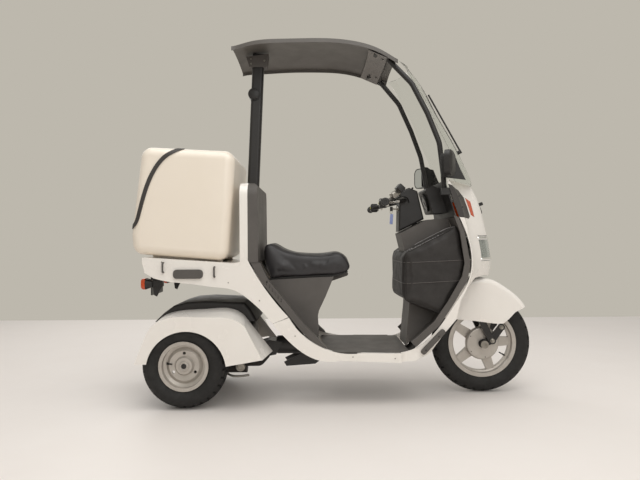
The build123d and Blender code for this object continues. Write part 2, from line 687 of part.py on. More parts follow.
# Sill covers
with BuildPart() as sill_covers:
    with BuildSketch(Plane.XZ.offset(SILL_HALF - SILL_DEPTH)):
        with BuildLine():
            Spline(*UPPER_REAR[2:])
            Line((103, 239), (280 - SEAM, 236))
            Line((280 - SEAM, 236), (280 - SEAM, 194))
            Line((280 - SEAM, 194), (0, 205))
            Spline((0, 205), (-127, 220), (-208, 275), (-300, 373))
            Line((-300, 373), (-227, 400))
        make_face()
    extrude(amount=SILL_DEPTH)
    with BuildSketch(Plane.XZ.offset(SILL_HALF - SILL_DEPTH - 1)):
        with BuildLine():
            Polyline((-227, 388), (-136, 291), (-58, 250), (103, 234), (274, 231), (274, 199), (0, 210), (-127, 226),
                     (-205, 281), (-288, 370), close=True)
        make_face()
    extrude(amount=SILL_DEPTH - SKIN + 1, mode=Mode.SUBTRACT)
    mirror(about=Plane.XZ)
write(sill_covers, "sill_covers")

# Tail cover with its rear wall
with BuildPart() as tail_cover:
    with BuildSketch(Plane.XZ):
        with BuildLine():
            Polyline((-888, 675), (-478, 647), (-440, 655), (-418, 673))
            Spline((-418, 673), (-355, 562), (-229, 402.5))
            Line((-229, 402.5), (-301.5, 375))
            Spline((-301.5, 375), (-367, 447), (-409, 484), (-473, 525), (-559, 540), (-675, 556), (-762, 565),
                   (-837, 582))
            Polyline((-837, 582), (-877, 606), (-888, 652), (-888, 675))
        make_face()
    extrude(amount=TAIL_HALF, both=True)
    with Locations((-888 + SKIN + 500, 0, 500)):
        Box(1000, 2 * (TAIL_HALF - SKIN), 600, mode=Mode.SUBTRACT)
write(tail_cover, "tail_cover")

with BuildPart() as deck_tray:
    with BuildSketch(Plane.XZ):
        with BuildLine():
            Polyline((-880, 676), (-478, 648), (-455, 648), (-455, 634), (-478, 632), (-880, 660), close=True)
        make_face()
    extrude(amount=TAIL_HALF - SKIN - SEAT_GAP, both=True)
write(deck_tray, "deck_tray")

# Wall behind the seat: white rear half, grey front half
BACK_TOP = 1013.0
with BuildPart() as back_cover:
    with BuildSketch(Plane.YZ.offset(-448)):
        with Locations((0, (BACK_TOP + 650) / 2)):
            Rectangle(2 * BACK_HALF, BACK_TOP - 650)
    extrude(amount=36)
    fillet(back_cover.edges().filter_by(Axis.X).group_by(Axis.Z)[-1], 60)
    with BuildSketch(Plane.YZ.offset(-448 + SKIN)):
        with Locations((0, (BACK_TOP + 650) / 2 - SKIN)):
            RectangleRounded(2 * (BACK_HALF - SKIN), BACK_TOP - 650, 56)
        with Locations((0, 690)):
            Rectangle(2 * (BACK_HALF - SKIN), 90)
    extrude(amount=40, mode=Mode.SUBTRACT)
    with BuildSketch(Plane.XY.offset(900)):
        with Locations((-412, 0)):
            Rectangle(POST_LENGTH + 8, POST_WIDTH + 8)
    extrude(amount=200, mode=Mode.SUBTRACT)
write(back_cover, "back_cover")

with BuildPart() as back_panel:
    with BuildSketch(Plane.XZ):
        with BuildLine():
            Polyline((-411, 650), (-411, BACK_TOP), (-385, BACK_TOP), (-368, 1000), (-366, 650), close=True)
        make_face()
    extrude(amount=BACK_HALF, both=True)
    with BuildSketch(Plane.YZ.offset(-500)):
        with Locations((0, 600)):
            Rectangle(2 * BACK_HALF, 300)
        with Locations((0, (BACK_TOP + 450) / 2)):
            RectangleRounded(2 * BACK_HALF, BACK_TOP - 450, 60)
    extrude(amount=200, mode=Mode.INTERSECT)
    with BuildSketch(Plane.YZ.offset(-412)):
        with Locations((0, (BACK_TOP + 450) / 2 - SKIN)):
            RectangleRounded(2 * (BACK_HALF - SKIN), BACK_TOP - 450, 56)
    extrude(amount=38, mode=Mode.SUBTRACT)
    with BuildSketch(Plane.XY.offset(900)):
        with Locations((-412, 0)):
            Rectangle(POST_LENGTH + 8, POST_WIDTH + 8)
    extrude(amount=200, mode=Mode.SUBTRACT)
write(back_panel, "back_panel")

VENT_SLOTS = 6
with BuildPart() as side_rails:
    with BuildSketch(Plane.XZ.offset(BACK_HALF - 47)):
        with BuildLine():
            Spline((-400, 649), (-352, 564), (-224, 402), (-134, 300), (-56, 258))
            Polyline((-56, 258), (-62, 268), (-85, 289), (-164, 374), (-243, 473), (-322, 572), (-358, 649), (-400, 649))
        make_face()
    extrude(amount=44)
    with BuildSketch(Plane.XZ.offset(BACK_HALF - 48)):
        with BuildLine():
            Polyline((-391, 643), (-349, 570), (-222, 411), (-140, 318), (-96, 290), (-166, 366), (-246, 466),
                     (-325, 565), (-362, 643), close=True)
        make_face()
    extrude(amount=41, mode=Mode.SUBTRACT)
    with BuildSketch(Plane.XZ.offset(BACK_HALF - 15)):
        for step in range(VENT_SLOTS):
            with Locations((-327 + 13 * step, 558 - 16 * step)):
                SlotOverall(18, 5, rotation=84)
    extrude(amount=20, mode=Mode.SUBTRACT)
    mirror(about=Plane.XZ)
write(side_rails, "side_rails")

# Seat base and seat
BASE_HALF = 132.0
SEAT_HINGE = (46.0, 582.0)
SEAT_PIN_R = 4.0
with BuildPart() as seat_base:
    with BuildSketch(Plane.XZ):
        with BuildLine():
            Polyline((-330, 563), (-318, 563.6), (-174, 570.6), (-20, 577.2), (-59, 484), (-91, 417), (-97, 388),
                     (-92, 296), (-120, 296), (-166, 340), (-300, 478), (-330, 515), close=True)
        make_face()
    extrude(amount=BASE_HALF, both=True)
    with BuildSketch(Plane.XZ):
        with BuildLine():
            Polyline((-326, 580), (-25, 580), (-63, 486), (-95, 419), (-101, 388), (-96, 300), (-118, 300),
                     (-162, 344), (-296, 482), (-326, 519), close=True)
        make_face()
    extrude(amount=BASE_HALF - SKIN, both=True, mode=Mode.SUBTRACT)
    # lugs on the frame's rear tubes
    with BuildSketch(Plane.XZ.offset(BASE_HALF - SKIN)):
        with BuildLine():
            Polyline((-300, 444), (-262, 398), (-238, 424), (-276, 472), close=True)
        make_face()
    extrude(amount=161.2 - BASE_HALF + SKIN)
    mirror(about=Plane.XZ)
    # ears and pin of the seat hinge
    with BuildSketch(Plane.XZ.offset(22)):
        with BuildLine():
            Polyline((-30, 572), (-38, 545), (48, 574), (46, 589), (36, 588), (-10, 570), close=True)
        make_face()
        with Locations(SEAT_HINGE):
            Circle(7)
    extrude(amount=6)
    mirror(about=Plane.XZ)
    with Locations(Location((SEAT_HINGE[0], 0, SEAT_HINGE[1]), (90, 0, 0))):
        Cylinder(SEAT_PIN_R, 58)
write(seat_base, "seat_base")

SEAT_HALF = 140.0
with BuildPart() as seat_pan:
    with BuildSketch(Plane.XZ):
        with BuildLine():
            Polyline((-318, 564), (-174, 571), (-12, 578), (44, 594), (48, 600), (-14, 586), (-176, 579),
                     (-320, 573), close=True)
        make_face()
    extrude(amount=118, both=True)
    with BuildSketch(Plane.XZ):
        with BuildLine():
            Polyline((38, 582), (36, 594), (47, 598), (54, 582), close=True)
        make_face()
        with Locations(SEAT_HINGE):
            Circle(8)
            Circle(SEAT_PIN_R + RUNNING_GAP, mode=Mode.SUBTRACT)
    extrude(amount=20, both=True)
    with Locations(Location((SEAT_HINGE[0], 0, SEAT_HINGE[1]), (90, 0, 0))):
        Cylinder(SEAT_PIN_R + RUNNING_GAP, 60, mode=Mode.SUBTRACT)
write(seat_pan, "seat_pan")

with BuildPart() as seat_cushion:
    with BuildSketch(Plane.XZ):
        with BuildLine():
            Spline((-350, 722), (-325, 735), (-296, 725), (-261, 705), (-211, 687), (-156, 681), (-36, 684), (15, 686),
                   (49, 655), (64, 622))
            Polyline((64, 622), (50, 602), (-14, 587), (-176, 580), (-322, 574), (-346, 645), (-350, 722))
        make_face()
    extrude(amount=SEAT_HALF, both=True)
    fillet(seat_cushion.faces().filter_by(Axis.Y).edges().filter_by(lambda e: e.center().Z > 640), 20)
write(seat_cushion, "seat_cushion")

# Load box, door, hinges and strap
BOX_SIDE = [(-505, 656), (-467, 1157), (-700, 1169), (-893, 1180), (-943, 780), (-936, 692)]
DOOR_HINGE = (-915.0, 1093.0)


def box_form(grow):
    """The box's outer form, grown outwards or shrunk inwards on every side."""
    with BuildPart() as form:
        with BuildSketch(Plane.XZ) as side:
            with BuildLine():
                Polyline(*BOX_SIDE, close=True)
            make_face()
            fillet(side.vertices(), BOX_CORNER)
            if grow:
                offset(amount=grow)
        extrude(amount=BOX_HALF + grow, both=True)
        fillet(form.faces().filter_by(Axis.Y).edges(), BOX_EDGE + grow)
    return form.part


box_block = box_form(0)
box_space = box_form(-BOX_WALL)

with BuildPart() as load_box:
    add(box_block)
    add(box_space, mode=Mode.SUBTRACT)
    with Locations((-930, 0, (DOOR_LOW + DOOR_HIGH) / 2)):
        Box(80, 2 * (DOOR_HALF + DOOR_GAP), DOOR_HIGH - DOOR_LOW + 2 * DOOR_GAP, mode=Mode.SUBTRACT)
    # runners that rest on the deck
    with BuildSketch(Plane.XZ.offset(150)):
        with BuildLine():
            Polyline((-860, 674.9), (-540, 652.6), (-540, 663), (-860, 690), close=True)
        make_face()
    extrude(amount=24)
    with BuildSketch(Plane.XZ.offset(-174)):
        with BuildLine():
            Polyline((-860, 674.9), (-540, 652.6), (-540, 663), (-860, 690), close=True)
        make_face()
    extrude(amount=24)
write(load_box, "load_box")

with BuildPart() as box_door:
    add(box_block)
    add(box_space, mode=Mode.SUBTRACT)
    with Locations((-930, 0, (DOOR_LOW + DOOR_HIGH) / 2)):
        Box(80, 2 * DOOR_HALF, DOOR_HIGH - DOOR_LOW, mode=Mode.INTERSECT)
    # turn handle in the middle of its lower edge
    with Locations((-949, 0, DOOR_LOW + 45)):
        Box(14, 70, 16)
        Box(24, 22, 22)
write(box_door, "box_door")


def hinge_leaf(profile, knuckles, bore):
    """A leaf with its knuckles, for the hinge at the middle of the width."""
    x, z = DOOR_HINGE
    with BuildPart() as leaf:
        with BuildSketch(Plane.XZ):
            with BuildLine():
                Polyline(*profile, close=True)
            make_face()
        extrude(amount=20, both=True)
        with BuildSketch(Plane.XZ):
            with Locations((x, z)):
                Circle(6)
        extrude(amount=20, both=True)
        for low, high in knuckles:
            with Locations((x, (low + high) / 2, z)):
                Box(24, high - low, 16, mode=Mode.SUBTRACT)
        if bore:
            with Locations(Location((x, 0, z), (90, 0, 0))):
                Cylinder(HINGE_PIN_R + RUNNING_GAP, 60, mode=Mode.SUBTRACT)
        else:
            with Locations(Location((x, 0, z), (90, 0, 0))):
                Cylinder(HINGE_PIN_R, 42)
    return leaf.part


with BuildPart() as box_hinges:
    hinge = hinge_leaf([(-903.5, 1099), (-901.5, 1115), (-904.4, 1115), (-911, 1099), (-911, 1094)], [(-7.5, 7.5)], False)
    for y in (-130, 130):
        add(Location((0, y, 0)) * hinge)
write(box_hinges, "box_hinges")

with BuildPart() as door_leaves:
    hinge = hinge_leaf([(-905.5, 1083), (-909.6, 1050), (-912.4, 1050), (-915, 1088)], [(-21, -7), (7, 21)], True)
    for y in (-130, 130):
        add(Location((0, y, 0)) * hinge)
write(door_leaves, "door_leaves")

# rubber strap that lies on the box from its top edge down to its rear edge
BAND_PATH = [(-702, 1182), (-737, 1160), (-783, 1130), (-824, 1082), (-856, 1021), (-882, 946), (-903, 872), (-922, 828),
             (-960, 812)]
with BuildPart() as box_band:
    add(box_form(SEAT_GAP + BAND_T))
    add(box_form(SEAT_GAP), mode=Mode.SUBTRACT)
    with BuildSketch(Plane.XZ):
        with BuildLine() as band_line:
            Spline(*BAND_PATH)
        trace(line_width=BAND_WIDTH)
    extrude(amount=300, both=True, mode=Mode.INTERSECT)
    with Locations((-800, 0, 1000)):
        Box(400, 2 * (BOX_HALF - BOX_EDGE + 4), 500, mode=Mode.SUBTRACT)
write(box_band, "box_band")

# Roof
ROOF_LINE = [(-486, 1640), (-390, 1656), (-270, 1664), (-128, 1666), (0, 1662), (90, 1649), (165, 1627), (225, 1600),
             (275, 1570)]
with BuildPart() as roof:
    for index, (x, z) in enumerate(ROOF_LINE):
        half = ROOF_HALF - (26 if index == 0 else 6 if index == 1 else 0) - (8 if index > 6 else 0)
        rise = 10 if index == 0 else 24
        with BuildSketch(Plane.YZ.offset(x)):
            with BuildLine():
                ThreePointArc((-half, z), (0, z + rise), (half, z))
                Line((half, z), (half, z - ROOF_LIP))
                Line((half, z - ROOF_LIP), (half - ROOF_WALL, z - ROOF_LIP))
                Line((half - ROOF_WALL, z - ROOF_LIP), (half - ROOF_WALL, z - ROOF_WALL))
                ThreePointArc((half - ROOF_WALL, z - ROOF_WALL), (0, z + rise - ROOF_WALL),
                              (ROOF_WALL - half, z - ROOF_WALL))
                Line((ROOF_WALL - half, z - ROOF_WALL), (ROOF_WALL - half, z - ROOF_LIP))
                Line((ROOF_WALL - half, z - ROOF_LIP), (-half, z - ROOF_LIP))
                Line((-half, z - ROOF_LIP), (-half, z))
            make_face()
    loft()
write(roof, "roof")

POST_TOP = (-380.0, 1667.0)
POST_FOOT = (-411.0, 1016.0)
POST_SPIGOT_R = 14.0
with BuildPart() as roof_post:
    run = Vector(POST_TOP[0] - POST_FOOT[0], 0, POST_TOP[1] - POST_FOOT[1])
    with BuildSketch(Plane(origin=(POST_FOOT[0], 0, POST_FOOT[1]), x_dir=(0, 1, 0), z_dir=run)):
        RectangleRounded(POST_WIDTH, POST_LENGTH, 14)
    extrude(amount=run.length)
    with BuildSketch(Plane(origin=(POST_FOOT[0], 0, POST_FOOT[1]), x_dir=(0, 1, 0), z_dir=run)):
        Circle(POST_SPIGOT_R)
    extrude(amount=-(POST_FOOT[1] - 612 - RAIL_R + 2 - SEAT_GAP))
    with Locations(Location((POST_FOOT[0] + 10, 0, 1468), (90, 0, 0))):
        Cylinder(30, POST_WIDTH + 14)
write(roof_post, "roof_post")

with BuildPart() as roof_bracket:
    with BuildSketch(Plane.XZ):
        with BuildLine():
            Polyline((-424, 1600), (-338, 1600), (-330, 1664), (-440, 1650), close=True)
        make_face()
    extrude(amount=30, both=True)
    with BuildSketch(Plane(origin=(POST_FOOT[0], 0, POST_FOOT[1]), x_dir=(0, 1, 0), z_dir=run)):
        RectangleRounded(POST_WIDTH + 2 * SEAT_GAP, POST_LENGTH + 2 * SEAT_GAP, 14)
    extrude(amount=run.length + 60, mode=Mode.SUBTRACT)
write(roof_bracket, "roof_bracket")

with BuildPart() as pillars:
    add(tube(PILLAR, PILLAR_R, 120))
    # foot that bolts to the inside of the cowl
    with Locations((481, (PILLAR_R + 195 + SHIELD_HALF - 6.5) / 2, 968)):
        Box(22, SHIELD_HALF - 6.5 - PILLAR_R - 195, 30)
    with Locations((494, SHIELD_HALF - 9, 968)):
        Box(48, 5, 30)
    mirror(about=Plane.XZ)
write(pillars, "pillars")

SCREEN = [(1578, 355, 262, 188), (1503, 405, 318, 196), (1410, 458, 372, 206), (1316, 506, 415, 218),
          (1238, 553, 448, 228), (1160, 594, 484, 235), (1087, 630, 498, 236), (1008.3, 658, 517, 232)]
SCREEN_HALF = max(half for z, front, side_x, half in SCREEN)
COVER_T = 4.0
SCREEN_COVER = [(464, 1141), (498, 1136), (512, 1126), (530, 1122), (552, 1068), (577, 1018), (533, 1023.5),
                (492, 1028.5), (466, 1032)]
with BuildPart() as windscreen:
    for z, front, side_x, half in SCREEN:
        t = SCREEN_WALL
        with BuildSketch(Plane.XY.offset(z)):
            with BuildLine():
                ThreePointArc((side_x + 18, -half), (front, 0), (side_x + 18, half))
                ThreePointArc((side_x + 18, -half + t), (front - t, 0), (side_x + 18, half - t))
                Line((side_x + 18, half - t), (side_x + 18, half))
                Line((side_x + 18, -half), (side_x + 18, -half + t))
            make_face()
    loft()
write(windscreen, "windscreen")

# black covers beside the screen's lower corners
with BuildPart() as screen_covers:
    with BuildSketch(Plane.XZ.offset(SCREEN_HALF + SEAT_GAP)) as cover_side:
        with BuildLine():
            Polyline(*SCREEN_COVER, close=True)
        make_face()
        fillet(cover_side.vertices().sort_by(Axis.X)[:2], 6)
    extrude(amount=COVER_T)
    mirror(about=Plane.XZ)
write(screen_covers, "screen_covers")

# Instruments, mirrors and lamps
with BuildPart() as meter_box:
    with BuildSketch(Plane.XZ):
        with BuildLine():
            Polyline((458, 874), (420, 990), (455, 1006), (489, 992), (525, 876), close=True)
        make_face()
    extrude(amount=100, both=True)
    fillet(meter_box.edges().filter_by(Axis.Y).sort_by(Axis.X)[:3], 10)
write(meter_box, "meter_box")

COVER_FOOT_Z = 828.0
with BuildPart() as column_cover:
    with BuildSketch(Plane.XZ):
        with BuildLine():
            Polyline((299, 787.6), (423, 848), (392, 985), (352, 1002), (304, 982), close=True)
        make_face()
    extrude(amount=52, both=True)
    fillet(column_cover.edges().filter_by(Axis.Y).group_by(Axis.Z)[-1], 12)
    fillet(column_cover.faces().filter_by(Axis.Y).edges(), 9)
    with BuildSketch(steer_plane(COVER_FOOT_Z - 40)):
        Circle(STEM_R + 12)
    extrude(amount=(STEM_TOP - COVER_FOOT_Z + 40) / AXIS_DIR.Z, mode=Mode.SUBTRACT)
    with BuildSketch(steer_plane(STEM_TOP - 14)):
        Circle(STEM_R + 12.5)
        Circle(STEM_R + RUNNING_GAP, mode=Mode.SUBTRACT)
    extrude(amount=6)
    add(handlebar.part, mode=Mode.SUBTRACT)
write(column_cover, "column_cover")

MIRROR_FOOT = (520.0, 1106.0)
with BuildPart() as mirrors:
    with BuildSketch(Plane(origin=(480, 318, 1085), x_dir=(sin(radians(12)), cos(radians(12)), 0),
                           z_dir=(cos(radians(12)), -sin(radians(12)), 0))):
        RectangleRounded(122, 112, 30)
    extrude(amount=22)
    fillet(mirrors.faces().sort_by(Axis.X)[-1].edges(), 8)
    # foot on the side cover, and the stay out to the mirror
    with BuildSketch(Plane.XZ.offset(-SCREEN_HALF - SEAT_GAP - COVER_T - 9)):
        with Locations(MIRROR_FOOT):
            Circle(11)
    extrude(amount=9)
    add(tube([(MIRROR_FOOT[0], SCREEN_HALF + 8, MIRROR_FOOT[1]), (MIRROR_FOOT[0], 268, MIRROR_FOOT[1]),
              (498, 296, 1090)], 6, 12))
    mirror(about=Plane.XZ)
write(mirrors, "mirrors")

with BuildPart() as bag:
    with BuildSketch(Plane.XZ):
        with BuildLine():
            Polyline((301, 468), (304, 692), (541, 812), (557.2, 777), (582.5, 640), (570.5, 569.2), (507.6, 460.3),
                     (469.4, 402.2), close=True)
        make_face()
    extrude(amount=205, both=True)
    with BuildSketch(Plane.XZ):
        with BuildLine():
            Polyline((324, 330), (334, 430), (335, 520), (329, 600), (316, 690), (290, 800), (700, 900), (700, 330),
                     close=True)
        make_face()
    extrude(amount=HUMP_HALF + 6, both=True, mode=Mode.SUBTRACT)
write(bag, "bag")

with BuildPart() as tail_lamp:
    with BuildSketch(Plane.YZ.offset(-888 - 14.3)):
        with Locations((0, 628)):
            RectangleRounded(170, 50, 12)
    extrude(amount=14)
write(tail_lamp, "tail_lamp")

with BuildPart() as rear_turn_lamps:
    with BuildSketch(Plane.YZ.offset(-886)):
        with Locations((190, 553)):
            RectangleRounded(60, 50, 18)
    extrude(amount=30, taper=18)
    with Locations((-838, 190, 555)):
        Box(56, 28, 28)
    # bracket up to the rail, and the tab below
    with BuildSketch(Plane.XZ.offset(-193)):
        with BuildLine():
            Polyline((-856, 560), (-852, 612 - RAIL_R - SEAT_GAP), (-822, 612 - RAIL_R - SEAT_GAP), (-814, 560), (-814, 541),
                     (-826, 520), (-838, 494), (-850, 500), (-856, 541), close=True)
        make_face()
    extrude(amount=6)
    mirror(about=Plane.XZ)
write(rear_turn_lamps, "rear_turn_lamps")

with BuildPart() as rear_turn_lenses:
    with BuildSketch(Plane.YZ.offset(-886 - SEAT_GAP)):
        with Locations((190, 553)):
            RectangleRounded(62, 52, 18)
    extrude(amount=-20)
    fillet(rear_turn_lenses.faces().sort_by(Axis.X)[0].edges(), 10)
    mirror(about=Plane.XZ)
write(rear_turn_lenses, "rear_turn_lenses")

with BuildPart() as plate_bracket:
    with BuildSketch(Plane.YZ.offset(-893)):
        with Locations((0, 545)):
            RectangleRounded(200, 110, 8)
    extrude(amount=4)
    with Locations((-858, 0, 612 - RAIL_R + 2 - SEAT_GAP - 3)):
        Box(70, 60, 6)
    with Locations(Location((-891, 0, 580), (0, 90, 0))):
        with GridLocations(0, 110, 1, 2):
            Hole(3.5, depth=20)
write(plate_bracket, "plate_bracket")

with BuildPart() as side_trims:
    with BuildSketch(Plane.XZ.offset(TAIL_HALF)):
        with Locations((-680, 600)):
            RectangleRounded(133, 41, 16)
    extrude(amount=10)
    add(tube([(-792, -TAIL_HALF, 609), (-792, -TAIL_HALF - 16, 609), (-792, -TAIL_HALF - 16, 652), (-792, -TAIL_HALF, 652)], 4, 6))
    add(tube([(-561, -TAIL_HALF, 587), (-561, -TAIL_HALF - 16, 587), (-561, -TAIL_HALF - 16, 631), (-561, -TAIL_HALF, 631)], 4, 6))
    mirror(about=Plane.XZ)
write(side_trims, "side_trims")

with BuildPart() as step_guards:
    with BuildSketch(Plane.XZ.offset(SHIELD_HALF - 4.5)):
        with Locations((425, 285)):
            SlotCenterToCenter(124, 24, rotation=46)
    extrude(amount=17.5)
    fillet(step_guards.faces().sort_by(Axis.Y)[0].edges(), 6)
    mirror(about=Plane.XZ)
write(step_guards, "step_guards")

with BuildPart() as wiper:
    add(tube([(438, -100, 1439), (584, -120, 1164)], 4, 5))
    with BuildSketch(Plane(origin=(588, -121, 1166), z_dir=(-0.83, 0.31, -0.41))):
        Circle(9)
    extrude(until=Until.NEXT, target=windscreen.part)
write(wiper, "wiper")
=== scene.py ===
"""Looks of a roofed three-wheel delivery scooter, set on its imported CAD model."""
import math

import bmesh
import bpy
from mathutils import Euler, Matrix, Vector


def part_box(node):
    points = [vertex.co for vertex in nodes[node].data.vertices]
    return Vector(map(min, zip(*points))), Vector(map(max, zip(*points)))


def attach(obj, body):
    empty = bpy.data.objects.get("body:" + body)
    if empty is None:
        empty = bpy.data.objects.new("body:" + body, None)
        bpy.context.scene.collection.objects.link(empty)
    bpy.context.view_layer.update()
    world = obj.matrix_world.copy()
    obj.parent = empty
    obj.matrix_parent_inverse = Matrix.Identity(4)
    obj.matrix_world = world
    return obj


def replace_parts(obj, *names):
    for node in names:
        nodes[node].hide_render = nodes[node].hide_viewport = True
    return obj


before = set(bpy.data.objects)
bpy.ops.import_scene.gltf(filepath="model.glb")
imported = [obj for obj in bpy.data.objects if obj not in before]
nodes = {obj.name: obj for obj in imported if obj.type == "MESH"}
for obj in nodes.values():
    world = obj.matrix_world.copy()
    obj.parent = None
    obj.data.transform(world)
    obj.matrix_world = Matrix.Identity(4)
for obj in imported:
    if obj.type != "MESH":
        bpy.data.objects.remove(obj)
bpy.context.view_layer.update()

# Frame tubes
# Bent and welded steel tube, powder coated black. The film is thick and even, with a fine
# orange peel, and it greys a little where road dust settles.


def linear(code):
    """Linear colour of an sRGB hex value."""
    parts = [int(code[i:i + 2], 16) / 255 for i in (1, 3, 5)]
    return [c / 12.92 if c < 0.04045 else ((c + 0.055) / 1.055) ** 2.4 for c in parts] + [1.0]


def add(material, kind, inputs, **settings):
    """Adds a shader node with its settings, and gives its inputs their values or links."""
    node = material.node_tree.nodes.new("ShaderNode" + kind)
    for name, value in settings.items():
        setattr(node, name, value)
    for socket, value in inputs.items():
        if isinstance(value, bpy.types.NodeSocket):
            material.node_tree.links.new(value, node.inputs[socket])
        else:
            node.inputs[socket].default_value = value
    return node


def finish_of(name, tones, patch, grain, relief, rough, **shader_values):
    """A finish with two close tones in soft patches and a fine relief; sizes are in mm."""
    material = bpy.data.materials.new(name)
    material.use_nodes = True
    shader = material.node_tree.nodes["Principled BSDF"]
    for socket, value in shader_values.items():
        shader.inputs[socket.replace("_", " ")].default_value = value
    place = add(material, "TexCoord", {}).outputs["Object"]
    patches = add(material, "TexNoise", {"Vector": place, "Scale": 1000 / patch, "Detail": 5.0,
                                         "Roughness": 0.6})
    tone = add(material, "MixRGB", {"Fac": patches.outputs["Fac"], "Color1": linear(tones[0]),
                                    "Color2": linear(tones[1])})
    gloss = add(material, "MapRange", {"Value": patches.outputs["Fac"], "From Min": 0.3,
                                       "From Max": 0.7, "To Min": rough[0], "To Max": rough[1]})
    fine = add(material, "TexNoise", {"Vector": place, "Scale": 1000 / grain, "Detail": 2.0})
    bump = add(material, "Bump", {"Height": fine.outputs["Fac"], "Distance": relief / 1000,
                                  "Strength": 0.7})
    link = material.node_tree.links.new
    link(tone.outputs["Color"], shader.inputs["Base Color"])
    link(gloss.outputs["Result"], shader.inputs["Roughness"])
    link(bump.outputs["Normal"], shader.inputs["Normal"])
    return material


def dress(material, *names):
    """Gives CAD nodes their finish."""
    for name in names:
        for place in nodes[name].material_slots:
            place.material = material


black_enamel = finish_of("black_powder_coat_steel", ("#171615", "#24211E"), 80, 1.5, 0.05,
                         (0.3, 0.42))
dress(black_enamel, "main_frame", "joint_case", "plate_bracket")

# Power unit
# Sand-cast aluminium crankcase with its belt case and final drive, grey from road dirt. The
# case screws are zinc plated; a bushed link and a thin steel pipe run ahead of it.
cast_aluminium = finish_of("sand_cast_aluminium", ("#75706A", "#4A4642"), 45, 2.0, 0.35,
                           (0.45, 0.65), Metallic=0.6)
zinc = finish_of("zinc_plated_steel", ("#A8A49C", "#7C766D"), 12, 0.8, 0.05, (0.25, 0.45),
                 Metallic=0.9)
dress(cast_aluminium, "power_unit")


def piece(name, bm, material, body, sharp=40):
    """Turns a bmesh into a finished piece that rides on a body."""
    bmesh.ops.remove_doubles(bm, verts=bm.verts, dist=1e-6)
    bmesh.ops.recalc_face_normals(bm, faces=bm.faces)
    mesh = bpy.data.meshes.new(name)
    bm.to_mesh(mesh)
    bm.free()
    mesh.materials.append(material)
    mesh.polygons.foreach_set("use_smooth", [True] * len(mesh.polygons))
    mesh.set_sharp_from_angle(angle=math.radians(sharp))
    obj = bpy.data.objects.new(name, mesh)
    bpy.context.collection.objects.link(obj)
    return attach(obj, body)


def turned(name, profile, foot, axis, material, body, steps=28):
    """A round piece, spun from radii and heights in mm above its foot."""
    axis = Vector(axis).normalized()
    side = axis.orthogonal().normalized()
    bm = bmesh.new()
    verts = [bm.verts.new(Vector(foot) + (side * r + axis * h) / 1000) for r, h in profile]
    for a, b in zip(verts, verts[1:]):
        bm.edges.new((a, b))
    bmesh.ops.spin(bm, geom=bm.verts[:] + bm.edges[:], cent=foot, axis=axis, dvec=(0, 0, 0),
                   angle=2 * math.pi, steps=steps, use_merge=True)
    return piece(name, bm, material, body)


def screws(name, places, axis, radius, material, body):
    """Domed screw heads set on a face; axis points out of it."""
    turn = Vector(axis).to_track_quat("Z", "Y").to_matrix().to_4x4()
    bm = bmesh.new()
    for place in places:
        made = bmesh.ops.create_cone(bm, cap_ends=True, segments=16, radius1=radius / 1000,
                                     radius2=radius / 1500, depth=0.003,
                                     matrix=Matrix.Translation(place) @ turn)
        top = max(made["verts"], key=lambda v: (v.co - Vector(place)).dot(Vector(axis)))
        flat = max(top.link_faces, key=lambda f: len(f.verts))
        bmesh.ops.inset_region(bm, faces=[flat], thickness=radius / 3000, depth=-0.0008)
    return piece(name, bm, material, body)


def rod(name, points, radius, material, body, order=3):
    """A round bar, pipe or cable of so many mm radius along a smooth line."""
    curve = bpy.data.curves.new(name, "CURVE")
    curve.dimensions = "3D"
    curve.bevel_depth = radius / 1000
    curve.bevel_resolution = 3
    curve.use_fill_caps = True
    curve.resolution_u = 8
    line = curve.splines.new("NURBS")
    line.points.add(len(points) - 1)
    for point, place in zip(line.points, points):
        point.co = (*place, 1.0)
    line.order_u = order
    line.use_endpoint_u = True
    holder = bpy.data.objects.new(name, curve)
    bpy.context.collection.objects.link(holder)
    bm = bmesh.new()
    bm.from_mesh(bpy.data.meshes.new_from_object(holder))
    bpy.data.objects.remove(holder)
    return piece(name, bm, material, body, 60)


turned("link_bush", [(0, -14), (13, -14), (13, 0), (20, 1), (22, 4), (22, 18), (20, 21), (13, 22),
                     (12, 19), (0, 19)], (-0.455, -0.175, 0.168), (0, -1, 0), zinc, "rear_unit")
rod("oil_pipe", [(-0.42, -0.15, 0.12), (-0.46, -0.16, 0.115), (-0.52, -0.16, 0.12),
                 (-0.56, -0.13, 0.16)], 5, zinc, "rear_unit")
belt_case = Vector((-0.64, 0.1485, 0.235))
screws("belt_case_screws", [belt_case + Vector((0.132 * math.cos(a / 8 * math.tau), 0,
                                                0.055 * math.sin(a / 8 * math.tau)))
                            for a in range(8)], (0, 1, 0), 6, zinc, "rear_unit")

# Muffler
# Rolled and welded steel drum with its pipe, in black heat paint. The paint is dull, and
# browned by rust in small patches.
heat_paint = finish_of("black_heat_paint", ("#1B1918", "#332B26"), 30, 1.2, 0.12, (0.5, 0.75),
                       Metallic=0.2)
dress(heat_paint, "muffler")

# White covers
# Injection-moulded ABS, painted gloss white and gone slightly warm with age, under a thin
# clear coat. The paint keeps a faint orange peel.
white_abs = finish_of("gloss_white_painted_abs", ("#EDE8E0", "#E6DFD5"), 160, 4.0, 0.02,
                      (0.2, 0.3), Coat_Weight=0.4, Coat_Roughness=0.08)
dress(white_abs, "rear_fenders", "front_fender", "front_cowl", "sill_covers", "tail_cover",
      "deck_tray", "back_cover")

